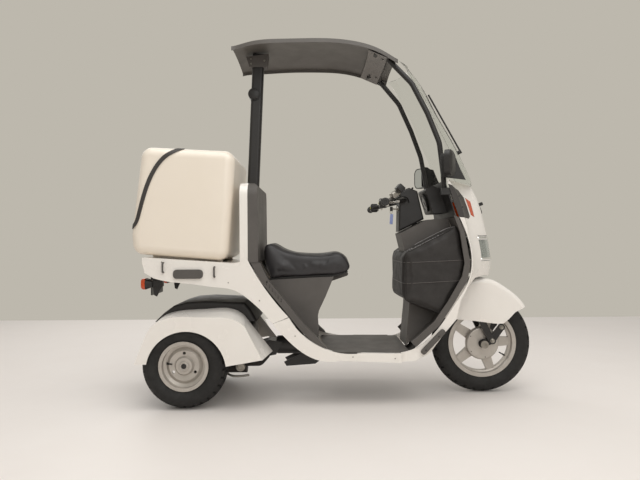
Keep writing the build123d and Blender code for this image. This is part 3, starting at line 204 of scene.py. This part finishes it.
# Grey mouldings
# Unpainted polypropylene, warm dark grey, with the leather grain that tool makers etch. The
# real grain is about 1 mm and is drawn at 2.2 mm so that it shows. Domed screws hold them.
grey_pp = finish_of("grained_grey_polypropylene", ("#5C5752", "#4B4743"), 110, 2.2, 0.25,
                    (0.5, 0.66))
dress(grey_pp, "floor_board", "leg_shield", "back_panel", "side_rails", "seat_base",
      "side_trims", "step_guards", "roof_bracket")
dark_pp = finish_of("grained_charcoal_polypropylene", ("#3D3936", "#34302D"), 90, 2.0, 0.2,
                    (0.45, 0.6))
dress(dark_pp, "cowl_garnish", "box_band")
screws("garnish_screws", [(0.5475, y, 0.9456) for y in (-0.2328, 0.2328)]
       + [(0.5631, y, 0.8955) for y in (-0.2335, 0.2335)], (0, 1, 0), 3.5, black_enamel, "body")
tail_face, sill_face = 0.2502, 0.2552
for side, word in ((-1, "right"), (1, "left")):
    screws("guard_screws_" + word, [(0.3905, side * 0.2482, 0.249),
                                    (0.44915, side * 0.2482, 0.3102)],
           (0, side, 0), 4.5, black_enamel, "body")
    screws("cover_screws_" + word,
           [(x, side * y, z) for x, y, z in ((-0.80, tail_face, 0.655), (-0.50, tail_face, 0.560),
                                             (-0.36, tail_face, 0.478), (-0.20, sill_face, 0.318),
                                             (0.06, sill_face, 0.222), (0.25, sill_face, 0.214))],
           (0, side, 0), 3.5, zinc, "body")

# Black mouldings
# Carbon-black ABS and nylon, injection moulded with a fine spark texture, nearly matt. They
# clip and screw to the frame and the cowl.
black_abs = finish_of("spark_textured_black_abs", ("#1A1918", "#24211F"), 70, 1.4, 0.15,
                      (0.4, 0.55))
dress(black_abs, "engine_cover", "column_cover", "meter_box", "roof_post", "pillars", "mirrors",
      "wiper", "rear_turn_lamps", "handlebar", "seat_pan", "dash_panel", "screen_covers")


def block(name, centre, size, edge, material, body, turn=(0, 0, 0)):
    """A moulded block with rounded edges; sizes in mm, turn in degrees."""
    bm = bmesh.new()
    bmesh.ops.create_cube(bm, size=0.001)
    bmesh.ops.scale(bm, vec=size, verts=bm.verts)
    bmesh.ops.bevel(bm, geom=bm.edges[:], offset=edge / 1000, offset_type="OFFSET", segments=3,
                    profile=0.5, affect="EDGES", material=-1)
    bmesh.ops.rotate(bm, cent=(0, 0, 0), verts=bm.verts,
                     matrix=Euler([math.radians(a) for a in turn]).to_matrix())
    bmesh.ops.translate(bm, vec=centre, verts=bm.verts)
    return piece(name, bm, material, body)


def plate(name, outline, near, far, edge, material, body):
    """A flat piece cut to a side-view outline in mm, between two widths in metres."""
    bm = bmesh.new()
    face = bm.faces.new([bm.verts.new((x / 1000, near, z / 1000)) for x, z in outline])
    grown = bmesh.ops.extrude_face_region(bm, geom=[face])["geom"]
    bmesh.ops.translate(bm, vec=(0, far - near, 0), verts=[g for g in grown
                                                           if isinstance(g, bmesh.types.BMVert)])
    if edge:
        bmesh.ops.bevel(bm, geom=bm.edges[:], offset=edge / 1000, offset_type="OFFSET",
                        segments=2, profile=0.5, affect="EDGES", material=-1)
    return piece(name, bm, material, body)


# Dial
# A printed white face in a black ring on the sloping back of the meter box. Plain ticks
# stand where the numbers are, with one thin needle.
dial_white = finish_of("printed_dial_white", ("#E8E6DF", "#DCD9D0"), 20, 0.6, 0.01, (0.4, 0.5))
dial_centre = Vector((0.4391, 0, 0.932))
dial_out = Vector((-0.9504, 0, -0.3112))
dial_across, dial_up = Vector((0, 1, 0)), Vector((-0.3112, 0, 0.9504))
turned("dial_ring", [(0, 0), (44, 0), (47, 3), (47, 7), (43, 8), (41, 5), (0, 5)], dial_centre,
       dial_out, black_enamel, "body", 48)
turned("dial_face", [(0, 0), (40, 0), (40, 0.6), (0, 0.8)], dial_centre + dial_out * 0.0052,
       dial_out, dial_white, "body", 48)
ticks = bmesh.new()
for number in range(25):
    angle = math.radians(-120 + 10 * number)
    ray = dial_across * math.sin(angle) + dial_up * math.cos(angle)
    place = dial_centre + dial_out * 0.0062 + ray * 0.034
    long = 0.009 if number % 4 == 0 else 0.005
    turn = Matrix((ray, dial_out.cross(ray), dial_out)).transposed().to_4x4()
    bmesh.ops.create_cube(ticks, size=1.0, matrix=Matrix.Translation(place) @ turn
                          @ Matrix.Diagonal((long, 0.0009, 0.0004, 1)))
piece("dial_ticks", ticks, black_enamel, "body")
ray = dial_across * -0.77 + dial_up * -0.64
rod("dial_needle", [dial_centre + dial_out * 0.0075 + ray * d for d in (-0.006, 0.012, 0.033)],
    0.9, black_enamel, "body", 2)

# Mirrors
# Silvered glass in black ABS housings, turned in towards the rider as in the photograph. A
# steel stay carries each one from a round foot on the cover beside the screen.
silvering = finish_of("silvered_glass", ("#D4D8D8", "#CDD2D2"), 200, 30.0, 0.0, (0.02, 0.04),
                      Metallic=1.0)


def pane(thick, wide, high, corner):
    """A flat pane across X with rounded corners; sizes in metres."""
    bm = bmesh.new()
    bmesh.ops.create_cube(bm, size=1.0)
    bmesh.ops.scale(bm, vec=(thick, wide, high), verts=bm.verts)
    corners = [e for e in bm.edges if abs(e.verts[0].co.x - e.verts[1].co.x) > thick / 2]
    bmesh.ops.bevel(bm, geom=corners, offset=corner, segments=6, profile=0.5, affect="EDGES",
                    material=-1)
    return bm


housings = bmesh.new()
for side, word in ((-1, "right"), (1, "left")):
    place = Matrix.Translation((0.484, side * 0.318, 1.085)) @ Matrix.Rotation(
        math.radians(side * 24), 4, "Z")
    shell = pane(0.024, 0.118, 0.110, 0.032)
    shell.normal_update()
    bulge = [f for f in shell.faces if f.normal.x > 0.9]
    bmesh.ops.inset_region(shell, faces=bulge, thickness=0.016, depth=0.008)
    mouth = [f for f in shell.faces if f.normal.x < -0.9]
    bmesh.ops.inset_region(shell, faces=mouth, thickness=0.004, depth=0.0)
    bmesh.ops.inset_region(shell, faces=mouth, thickness=0.0005, depth=-0.003)
    bmesh.ops.transform(shell, matrix=place, verts=shell.verts)
    shell_mesh = bpy.data.meshes.new("mirror_shell")
    shell.to_mesh(shell_mesh)
    shell.free()
    housings.from_mesh(shell_mesh)
    bpy.data.meshes.remove(shell_mesh)
    glass = pane(0.0016, 0.1085, 0.1005, 0.028)
    bmesh.ops.transform(glass, matrix=place @ Matrix.Translation((-0.0102, 0, 0)),
                        verts=glass.verts)
    piece("mirror_glass_" + word, glass, silvering, "body")
    rod("mirror_stay_" + word, [(0.520, side * 0.244, 1.106), (0.520, side * 0.266, 1.106),
                                (0.510, side * 0.286, 1.098), (0.496, side * 0.303, 1.092)], 6,
        black_enamel, "body")
    turned("mirror_foot_" + word, [(0, 0), (14, 0), (15, 2), (15, 5), (11, 9), (8, 10), (0, 10)],
           (0.520, side * 0.2404, 1.106), (0, side, 0), black_abs, "body")
housing = piece("mirror_housings", housings, black_abs, "body", 50)
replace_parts(housing, "mirrors")

# Handlebar fittings
# Die-cast brake cylinder with a black cap, moulded switch boxes, grey throttle sleeve and
# alloy levers. The key stands in its lock on the column with a bare blue tag on its ring.
alloy = finish_of("polished_cast_alloy", ("#B5B0A8", "#94908A"), 18, 0.7, 0.03, (0.22, 0.34),
                  Metallic=0.9)
sleeve_grey = finish_of("moulded_grey_nylon", ("#7E7A74", "#6C6862"), 40, 1.2, 0.1, (0.45, 0.6))
rubber = finish_of("vulcanised_rubber", ("#151413", "#211F1D"), 25, 1.8, 0.2, (0.6, 0.85))
dress(alloy, "levers")
dress(rubber, "grips")
turn_green = finish_of("moulded_lime_acetal", ("#B9B93A", "#A4A42E"), 10, 0.8, 0.05, (0.4, 0.5))
tag_blue = finish_of("pale_blue_vinyl_tag", ("#8E99C4", "#8490BC"), 14, 0.8, 0.05, (0.4, 0.5))
for side, word in ((-1, "right"), (1, "left")):
    turned("bar_end_" + word, [(0, 0), (17, 0), (18, 2), (18, 9), (15, 12), (6, 12), (5, 10),
                               (0, 10)], (0.2, side * 0.33, 0.915), (0, side, 0), black_abs,
           "steering")
    block("switch_box_" + word, (0.206, side * 0.196, 0.917), (36, 30, 44), 7, black_abs,
          "steering")
    block("switch_key_" + word, (0.190, side * 0.196, 0.917), (10, 14, 9), 2.5, turn_green,
          "steering")
    rod("hose_" + word, [(0.235, side * 0.19, 0.925), (0.29, side * 0.15, 0.95),
                         (0.335, side * 0.085, 0.955), (0.352, side * 0.045, 0.93),
                         (0.352, side * 0.036, 0.90)], 3.2, rubber, "steering")
rings = bmesh.new()
rib_radius, rib_pitch = 0.0168, 0.0072
for side in (-1, 1):
    for number in range(13):
        centre = (0.2, side * (0.236 + number * rib_pitch), 0.915)
        bmesh.ops.create_cone(rings, cap_ends=True, segments=28, radius1=rib_radius,
                              radius2=rib_radius, depth=0.0035,
                              matrix=Matrix.Translation(centre)
                              @ Matrix.Rotation(math.pi / 2, 4, "X"))
bmesh.ops.bevel(rings, geom=[e for e in rings.edges if len(e.link_faces) == 2
                             and e.calc_face_angle() > 1.2], offset=0.0006, segments=2,
                profile=0.5, affect="EDGES", material=-1)
piece("grip_ribs", rings, rubber, "steering")
block("brake_cylinder", (0.268, -0.15, 0.962), (44, 34, 30), 6, alloy, "steering", (0, -28, 20))
block("brake_reservoir", (0.290, -0.165, 0.988), (34, 46, 30), 4, black_abs, "steering",
      (0, 42, 8))
turned("mirror_boss_plug", [(0, 0), (14, 0), (14, 3), (12, 5), (0, 5.5)], (0.312, -0.0535, 0.944),
       (0, -1, 0), sleeve_grey, "steering")
rod("throttle_sleeve", [(0.212, -0.206, 0.92), (0.232, -0.17, 0.934), (0.262, -0.12, 0.945)], 8,
    sleeve_grey, "steering")
rod("choke_stalk", [(0.344, -0.03, 0.962), (0.352, -0.04, 0.985), (0.366, -0.048, 0.998)], 2.2,
    black_abs, "steering")
turned("stalk_bead", [(0, -5), (3, -4), (5, 0), (3, 4), (0, 5)], (0.368, -0.049, 0.999),
       (0.6, 0, 0.8), black_abs, "steering", 14)
turned("ignition_lock", [(0, 0), (13, 0), (13, 3), (10, 5), (0, 5)], (0.3012, -0.022, 0.900),
       (-1, 0, 0), zinc, "steering")
block("key_blade", (0.284, -0.022, 0.900), (28, 3, 9), 1, zinc, "steering")
block("key_head", (0.268, -0.022, 0.900), (14, 5, 22), 2.4, black_abs, "steering")
ring_centre = Vector((0.267, -0.022, 0.886))
rod("key_ring", [ring_centre + Vector((0.006 * math.cos(a / 8 * math.tau), 0,
                                       0.010 * math.sin(a / 8 * math.tau))) for a in range(9)],
    0.9, zinc, "steering")
block("key_tag", (0.268, -0.022, 0.850), (15, 3, 50), 1.4, tag_blue, "steering", (0, 4, 0))

# Load box
# Hand-laid glass fibre with a cream gelcoat: glossy, faintly wavy, a little yellowed. The
# door hangs on zinc-plated strap hinges with domed screws, over a rubber seal.
gelcoat = finish_of("cream_gelcoat_glass_fibre", ("#EEE3D3", "#E6DAC8"), 220, 60.0, 0.5,
                    (0.28, 0.38), Coat_Weight=0.25, Coat_Roughness=0.15)
dress(gelcoat, "load_box", "box_door")
dress(zinc, "box_hinges", "door_leaves")
rod("door_seal", [(-0.938, -0.17, 0.742), (-0.938, 0.17, 0.742)], 2.5, rubber, "body", 2)
screws("hinge_screws", [(-0.9059, y + d, 1.1075) for y in (-0.13, 0.13) for d in (-0.012, 0.012)],
       (-0.99, 0, 0.12), 2.6, zinc, "body")

# Roof
# Vacuum-formed grey ABS sheet with a grained outside. Its slotted front plate is bolted up
# under the front edge, and a bracket and a capped collar join it to the post.
roof_abs = finish_of("grained_grey_abs_sheet", ("#635F5A", "#55514C"), 130, 2.4, 0.2,
                     (0.42, 0.55))
dress(roof_abs, "roof")
liner = finish_of("bare_grey_abs_sheet", ("#7B7671", "#6B6661"), 120, 2.4, 0.1, (0.5, 0.6))
bm = bmesh.new()
bmesh.ops.create_grid(bm, x_segments=2, y_segments=16, size=0.5)
plate_half, plate_crown, plate_sweep = 0.222, 0.021, 0.012
for vert in bm.verts:
    ahead, wide = vert.co.x + 0.5, vert.co.y * 2
    edge_height = 1.617 - 0.037 * ahead
    vert.co = (0.152 + 0.085 * ahead - plate_sweep * wide * wide, wide * plate_half,
               edge_height + plate_crown * (1 - wide * wide))
bmesh.ops.solidify(bm, geom=bm.faces[:] + bm.edges[:] + bm.verts[:], thickness=0.003)
piece("roof_front_plate", bm, liner, "body")
for side, word in ((-1, "right"), (1, "left")):
    plate("plate_slot_" + word, [(168, 1600), (172, 1616), (198, 1603)], side * 0.170,
          side * 0.205, 0, black_abs, "body")
    screws("roof_bolts_" + word, [(0.180, side * 0.15, 1.6055), (0.215, side * 0.15, 1.5935)],
           (-0.3, 0, -0.95), 6, black_enamel, "body")
    turned("collar_cap_" + word, [(0, 0), (24, 0), (26, 2), (26, 5), (20, 8), (0, 9)],
           (-0.401, side * 0.030, 1.468), (0, side, 0), black_abs, "body")
screws("bracket_bolts", [(-0.415, y, z) for y in (-0.0302, 0.0302) for z in (1.615, 1.638)]
       + [(-0.350, y, 1.630) for y in (-0.0302, 0.0302)], (0, 1, 0), 5, zinc, "body")

# Wheels
# Die-cast front wheel and stamped rear wheels in silver wheel paint: aluminium flake under a
# thin clear coat, dulled by brake dust in the corners. Rubber valves, zinc-plated bolts.
wheel_silver = finish_of("silver_wheel_paint", ("#C4BEB6", "#AAA39A"), 35, 0.9, 0.04,
                         (0.32, 0.45), Metallic=0.5)
dress(wheel_silver, "front_rim", "rear_rim_left", "rear_rim_right", "front_brake_plate")
dress(zinc, "front_axle")
dress(black_enamel, "fork", "fork_links")
hub = Vector((0.706, 0, 0.241))
turned("front_valve", [(0, 0), (4, 0), (4, 12), (3, 14), (3, 30), (2.2, 31), (0, 31)],
       hub + Vector((0.118, -0.004, -0.066)), (-0.87, 0, 0.49), rubber, "front_wheel", 14)
turned("brake_plate_boss", [(8.5, 0), (21, 0), (21, 5), (18, 8), (12, 8), (8.5, 7)],
       hub + Vector((0, -0.043, 0)), (0, -1, 0), black_enamel, "steering")
screws("brake_plate_screws", [hub + Vector((0.068 * math.cos(a), -0.0435, 0.068 * math.sin(a)))
                              for a in (0.55, 1.5, 2.6, 3.75, 4.9)], (0, -1, 0), 3, black_enamel,
       "steering")
for side, word in ((-1, "right"), (1, "left")):
    turned("axle_washer_" + word, [(7.3, 0), (19, 0), (19, 2.5), (7.3, 2.5)],
           hub + Vector((0, side * 0.0775, 0)), (0, side, 0), zinc, "steering")
    for number, (x, y, z) in enumerate(((0.744, 0.077, 0.259), (0.792, 0.0627, 0.322))):
        turned(f"link_bolt_{word}_{number}",
               [(0, 0), (11, 0), (11, 2), (8.5, 3), (8.5, 8), (6, 10), (3, 8.5), (0, 8.5)],
               (x, side * y, z), (0, side, 0), zinc, "steering", 12)
    centre = Vector((-0.694, side * 0.2475, 0.1925))
    turned("rear_valve_" + word, [(0, 0), (5, 0), (5, 10), (3, 12), (3, 26), (0, 27)],
           centre + Vector((-0.078, side * 0.026, 0.01)), (0.95, side * 0.3, -0.1), rubber,
           "rear_wheel_" + word, 14)
    turned("hub_ring_" + word, [(12.4, 0), (22, 0), (23, 3), (22, 6), (18, 7), (16, 4), (12.4, 4)],
           centre + Vector((0, side * 0.0382, 0)), (0, side, 0), wheel_silver,
           "rear_wheel_" + word)
    turned("stub_nut_" + word, [(0, 0), (11.5, 0), (11.5, 3), (8, 5), (0, 5)],
           centre + Vector((0, side * 0.039, 0)), (0, side, 0), black_enamel, "rear_unit", 6)

# Tyres
# Vulcanised rubber with carbon black, moulded with grooves and blocks. The tread is greyed
# by dust, the walls are darker.


def tyre(name, node, body, axle, half_track, seat, steps, bars):
    """A tyre spun from its section, with tread blocks cut by moving faces inwards."""
    low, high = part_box(node)
    width = (high.y - low.y) / 2
    radius = (high.z - low.z) / 2
    crown = half_track * 0.86
    drop, tread_band = 0.0155, 0.021
    side = [(0.60 * width, seat), (0.66 * width, seat + 0.010), (0.86 * width, seat + 0.022),
            (0.985 * width, (seat + radius) / 2), (0.95 * width, radius - 0.034),
            (crown + 0.004, radius - 0.019), (crown, radius - drop)]
    tread = [(crown * f, radius - drop * f * f) for f in (0.9, 0.72, 0.66, 0.4, 0.24, 0.18)]
    half = side + tread
    profile = half + [(-y, r) for y, r in reversed(half)]
    bm = bmesh.new()
    verts = [bm.verts.new((axle.x, axle.y + y, axle.z + r)) for y, r in profile]
    for a, b in zip(verts, verts[1:] + verts[:1]):
        bm.edges.new((a, b))
    bmesh.ops.spin(bm, geom=bm.verts[:] + bm.edges[:], cent=axle, axis=(0, 1, 0),
                   dvec=(0, 0, 0), angle=2 * math.pi, steps=steps, use_merge=True)
    bm.normal_update()
    bmesh.ops.recalc_face_normals(bm, faces=bm.faces)
    grooves, cuts = [], []
    for face in bm.faces:
        middle = face.calc_center_median() - axle
        across, reach = abs(middle.y), math.hypot(middle.x, middle.z)
        if reach < radius - tread_band:
            continue
        turn = (math.atan2(middle.z, middle.x) / (2 * math.pi)) % 1
        slant = 0.35 * middle.y / crown * 6
        step = int(turn * steps + slant) % bars
        if crown * 0.66 < across < crown * 0.72 or crown * 0.18 < across < crown * 0.24:
            grooves.append(face)
        elif step == 0 and across > crown * 0.3:
            cuts.append(face)
    bmesh.ops.inset_region(bm, faces=grooves, thickness=0.0006, depth=-0.0045,
                           use_even_offset=True)
    cuts = [f for f in cuts if f.is_valid]
    bmesh.ops.inset_individual(bm, faces=cuts, thickness=0.0008, depth=-0.0035)
    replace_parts(piece(name, bm, rubber, body, 32), node)


front_low, front_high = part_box("front_tyre")
tyre("front_tyre_treaded", "front_tyre", "front_wheel", (front_low + front_high) / 2, 0.037,
     0.153, 120, 4)
for word in ("left", "right"):
    low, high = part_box("rear_tyre_" + word)
    tyre("rear_tyre_treaded_" + word, "rear_tyre_" + word, "rear_wheel_" + word,
         (low + high) / 2, 0.055, 0.101, 120, 4)

# Saddle
# Black vinyl pulled over moulded foam: a soft sheen, a pebble grain, and a crown that rolls
# over into straight sides.
vinyl = finish_of("pebbled_black_vinyl", ("#2E2C2D", "#262425"), 60, 1.8, 0.25, (0.36, 0.5))


def copy_of(node, name):
    """A merged copy of a CAD node's mesh as a new object."""
    bm = bmesh.new()
    bm.from_mesh(nodes[node].data)
    bmesh.ops.remove_doubles(bm, verts=bm.verts, dist=1e-5)
    mesh = bpy.data.meshes.new(name)
    bm.to_mesh(mesh)
    bm.free()
    obj = bpy.data.objects.new(name, mesh)
    bpy.context.collection.objects.link(obj)
    return obj


def settle(obj):
    """Applies an object's modifiers to its mesh."""
    shapes = bpy.context.evaluated_depsgraph_get()
    mesh = bpy.data.meshes.new_from_object(obj.evaluated_get(shapes))
    obj.modifiers.clear()
    obj.data = mesh


def stuffed(node, name, material, voxel, pressure, cap, rounds):
    """A pad with the CAD solid's shape, remeshed, softened and blown up as cloth."""
    obj = copy_of(node, name)
    remesh = obj.modifiers.new("voxels", "REMESH")
    remesh.mode = "VOXEL"
    remesh.voxel_size = voxel
    settle(obj)
    bm = bmesh.new()
    bm.from_mesh(obj.data)
    for _ in range(rounds):
        bmesh.ops.smooth_vert(bm, verts=bm.verts, factor=0.5, use_axis_x=True, use_axis_y=True,
                              use_axis_z=True)
    bm.to_mesh(obj.data)
    bm.free()
    start = [v.co.copy() for v in obj.data.vertices]
    cloth = obj.modifiers.new("cloth", "CLOTH")
    cloth.settings.use_pressure = True
    cloth.settings.uniform_pressure_force = pressure
    cloth.settings.effector_weights.gravity = 0.0
    for step in range(1, 21):
        bpy.context.scene.frame_set(step)
    settle(obj)
    bpy.context.scene.frame_set(1)
    for vert, was in zip(obj.data.vertices, start):
        move = vert.co - was
        if move.length > cap:
            vert.co = was + move * (cap / move.length)
    obj.data.materials.append(material)
    obj.data.polygons.foreach_set("use_smooth", [True] * len(obj.data.polygons))
    return obj


saddle = stuffed("seat_cushion", "saddle_cover", vinyl, 0.006, 3.0, 0.005, 12)
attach(saddle, "seat")
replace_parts(saddle, "seat_cushion")

# Bag in front of the knees
# Black polyester cloth, coated inside, hung over the leg shield. It sags between its edges.
# Grey piping runs round it twice and black piping binds its outline. Its upward-facing
# top is painted light grey, a painted highlight where the ceiling light falls on it.
polyester = finish_of("coated_polyester_cloth", ("#2D2926", "#24211F"), 50, 1.2, 0.2,
                      (0.55, 0.8))
# Light grey for the bag's top: a painted highlight, not a colour the cloth has.
bag_top_painted_highlight = finish_of("painted_highlight_on_bag_top", ("#8D8987", "#7C7876"), 40, 1.5, 0.15, (0.5, 0.7))
piping = finish_of("woven_grey_piping", ("#5A5450", "#4A4542"), 10, 0.8, 0.1, (0.5, 0.7))
bag = stuffed("bag", "knee_bag", polyester, 0.006, 1.5, 0.006, 6)
bag.data.materials.append(bag_top_painted_highlight)
highlight_bottom = 0.66
# Faces that look upwards above this height get the painted highlight grey.
for face in bag.data.polygons:
    if face.normal.z > 0.86 and face.center.z > highlight_bottom:
        face.material_index = 1
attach(bag, "body")
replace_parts(bag, "bag")


def laid(name, corners, radius, material):
    """Piping laid on the bag's surface along a run between corners."""
    points = []
    for a, b in zip(corners, corners[1:]):
        count = max(2, int((Vector(b) - Vector(a)).length / 0.02))
        points += [Vector(a).lerp(Vector(b), k / count) for k in range(count)]
    points.append(Vector(corners[-1]))
    line = []
    for point in points:
        _, place, normal, _ = bag.closest_point_on_mesh(point)
        line.append(place + normal * 0.0007)
    rod(name, line, radius, material, "body")


edge_y = 0.207
for name, left, right in (("upper", (0.302, 0.643), (0.586, 0.654)),
                          ("lower", (0.302, 0.547), (0.569, 0.560))):
    laid("bag_piping_" + name, [(right[0], -edge_y, right[1]), (left[0], -edge_y, left[1]),
                                (left[0], edge_y, left[1]), (right[0], edge_y, right[1])], 1.6,
         piping)
for side, word in ((-1, "right"), (1, "left")):
    laid("bag_edge_" + word, [(0.541, side * edge_y, 0.814), (0.301, side * edge_y, 0.694),
                              (0.299, side * edge_y, 0.466), (0.471, side * edge_y, 0.400)], 2.0,
         polyester)

# Screen
# Clear polycarbonate sheet, thermoformed to a double curve and bolted between the pillars
# and the cowl.


def clear_of(name, colour, **shader_values):
    """A clear or tinted plastic that lets light through."""
    material = bpy.data.materials.new(name)
    material.use_nodes = True
    shader = material.node_tree.nodes["Principled BSDF"]
    shader.inputs["Base Color"].default_value = linear(colour)
    for socket, value in shader_values.items():
        shader.inputs[socket.replace("_", " ")].default_value = value
    return material


dress(clear_of("clear_polycarbonate", "#F6F8F6", Roughness=0.0, IOR=1.12,
               Transmission_Weight=1.0), "windscreen")

# Lamps
# Moulded acrylic lenses under a hard coat: clear in front, amber for the indicators, red
# behind. The tinted ones are thick and cloudy, so they let less light through.
acrylic = {"IOR": 1.49, "Coat_Weight": 0.6}
dress(clear_of("clear_acrylic", "#E6ECEA", Roughness=0.04, Transmission_Weight=0.92, **acrylic),
      "headlamp_lens")
dress(clear_of("amber_acrylic", "#E0520C", Roughness=0.15, Transmission_Weight=0.35, **acrylic),
      "front_turn_lamps", "rear_turn_lenses")
dress(clear_of("red_acrylic", "#A8120C", Roughness=0.15, Transmission_Weight=0.35, **acrylic),
      "tail_lamp")

# Headlamp inside and trim
# A vapour-coated reflector with vertical flutes and a bulb in its middle. Two chromed trims
# cross the lens at the top and bottom, under a rubber gasket.
fluted = finish_of("vapour_coated_fluted_reflector", ("#C6C9C6", "#B2B5B1"), 30, 1.0, 0.02,
                   (0.12, 0.2), Metallic=0.85)
wave = add(fluted, "TexWave", {"Vector": add(fluted, "TexCoord", {}).outputs["Object"],
                               "Scale": 26.0}, bands_direction="Y", wave_profile="SIN")
flute = add(fluted, "Bump", {"Height": wave.outputs["Fac"], "Distance": 0.004, "Strength": 0.9})
fluted.node_tree.links.new(flute.outputs["Normal"],
                           fluted.node_tree.nodes["Principled BSDF"].inputs["Normal"])
reflector = copy_of("headlamp_lens", "lamp_reflector")
lamp_height = 0.7035
bm = bmesh.new()
bm.from_mesh(reflector.data)
bmesh.ops.scale(bm, vec=(1.0, 0.975, 0.97), verts=bm.verts,
                space=Matrix.Translation((0, 0, -lamp_height)))
bmesh.ops.translate(bm, vec=(-0.016, 0, 0), verts=bm.verts)
bm.to_mesh(reflector.data)
bm.free()
reflector.data.materials.append(fluted)
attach(reflector, "body")
chrome = finish_of("polished_chrome_trim", ("#F4F4F2", "#E8E9E8"), 60, 2.0, 0.0, (0.04, 0.08),
                   Metallic=1.0)
for word, low, high in (("lower", 0.648, 0.661), ("upper", 0.747, 0.760)):
    trim = copy_of("headlamp_lens", "lamp_trim_" + word)
    bm = bmesh.new()
    bm.from_mesh(trim.data)
    for height, up in ((low, -1), (high, 1)):
        bmesh.ops.bisect_plane(bm, geom=bm.verts[:] + bm.edges[:] + bm.faces[:], dist=1e-5,
                               plane_co=(0, 0, height), plane_no=(0, 0, up), clear_outer=True)
    for step in range(1, 8):
        bmesh.ops.bisect_plane(bm, geom=bm.verts[:] + bm.edges[:] + bm.faces[:], dist=1e-5,
                               plane_co=(0, 0, low + (high - low) * step / 8),
                               plane_no=(0, 0, 1))
    bm.normal_update()
    for vert in bm.verts:
        rise = min(max((vert.co.z - low) / (high - low), 0), 1)
        swell = math.sin(math.pi * rise)
        vert.co += Vector((vert.normal.x, vert.normal.y, 0)) * (0.0006 + 0.0042 * swell)
    bm.to_mesh(trim.data)
    bm.free()
    trim.data.materials.append(chrome)
    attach(trim, "body")
gasket_line = ((0.6555, -0.150), (0.700, -0.115), (0.728, -0.05), (0.7365, 0), (0.728, 0.05),
               (0.700, 0.115), (0.6555, 0.150))
rod("lamp_gasket", [(x, y, 0.7655) for x, y in gasket_line], 1.2, rubber, "body")
turned("lamp_bulb", [(0, 0), (9, 0), (9, 8), (12, 14), (12, 22), (7, 28), (0, 30)],
       (0.7, 0, lamp_height), (1, 0, 0), alloy, "body", 20)

# Nose stalk
# A short rubber stalk with a small block on its end, standing out of the cowl above the
# headlamp.
rod("nose_stalk", [(0.708, 0, 0.862), (0.719, 0, 0.876), (0.712, 0, 0.894), (0.705, 0, 0.912)],
    3.5, rubber, "body")
block("nose_stalk_head", (0.712, 0, 0.922), (22, 14, 16), 3, rubber, "body", (0, -20, 0))

# Studio
# A pale floor, a grey wall colour behind it and three large soft lamps. White light falls
# from all round, and the wall colour shows only to the camera, in gloss and through glass.
floor_bm = bmesh.new()
bmesh.ops.create_grid(floor_bm, x_segments=2, y_segments=2, size=1.0)
bmesh.ops.scale(floor_bm, vec=(12, 7.3, 1), verts=floor_bm.verts)
bmesh.ops.translate(floor_bm, vec=(0, -4.7, 0), verts=floor_bm.verts)
floor_mesh = bpy.data.meshes.new("studio_floor")
floor_bm.to_mesh(floor_mesh)
floor_bm.free()
floor = bpy.data.objects.new("studio_floor", floor_mesh)
bpy.context.collection.objects.link(floor)
floor_mesh.materials.append(finish_of("pale_painted_concrete", ("#E9E2DB", "#E4DCD4"), 400, 9.0,
                                      0.05, (0.5, 0.6)))

world = bpy.data.worlds.new("studio")
bpy.context.scene.world = world
world.use_nodes = True
tree = world.node_tree
tree.nodes.clear()
path = add(world, "LightPath", {})
seen = add(world, "Math", {0: path.outputs["Is Camera Ray"], 1: path.outputs["Is Glossy Ray"]},
           operation="ADD")
seen = add(world, "Math", {0: seen.outputs[0], 1: path.outputs["Is Transmission Ray"]},
           operation="ADD", use_clamp=True)
sky = add(world, "Background", {"Color": linear("#FFFFFF"), "Strength": 0.55})
wall = add(world, "Background", {"Color": linear("#BDB8AD"), "Strength": 1.0})
mix = add(world, "MixShader", {"Fac": seen.outputs[0], 1: sky.outputs[0], 2: wall.outputs[0]})
out = tree.nodes.new("ShaderNodeOutputWorld")
tree.links.new(mix.outputs[0], out.inputs["Surface"])

for name, place, aim, size, power in (("ceiling", (0.2, -0.8, 3.6), (0, 0, 0.6), 3.2, 75),
                                      ("front_fill", (0.8, -3.6, 2.4), (0, 0, 0.7), 2.4, 34),
                                      ("back_fill", (-1.6, 3.0, 2.4), (0, 0, 0.7), 2.4, 24)):
    lamp = bpy.data.lights.new(name, "AREA")
    lamp.size = size
    lamp.energy = power
    holder = bpy.data.objects.new(name, lamp)
    holder.location = place
    holder.visible_transmission = False
    holder.rotation_euler = (Vector(aim) - Vector(place)).to_track_quat("-Z", "Y").to_euler()
    bpy.context.collection.objects.link(holder)

# Camera
# Fitted to the photograph: level, square to the side, 2.8 m from the middle plane, and
# turned a little on its axis.
camera = bpy.data.cameras.new("photo_camera")
camera.sensor_fit = "HORIZONTAL"
camera.sensor_width = 36.0
camera.lens = 31.815
camera.shift_x = 4 / 640
eye = bpy.data.objects.new("photo_camera", camera)
eye.location = (-0.103, -2.8, 0.75)
eye.rotation_euler = (math.radians(90), math.radians(0.37), 0)
bpy.context.collection.objects.link(eye)
bpy.context.scene.camera = eye
bpy.context.scene.view_settings.view_transform = "Standard"
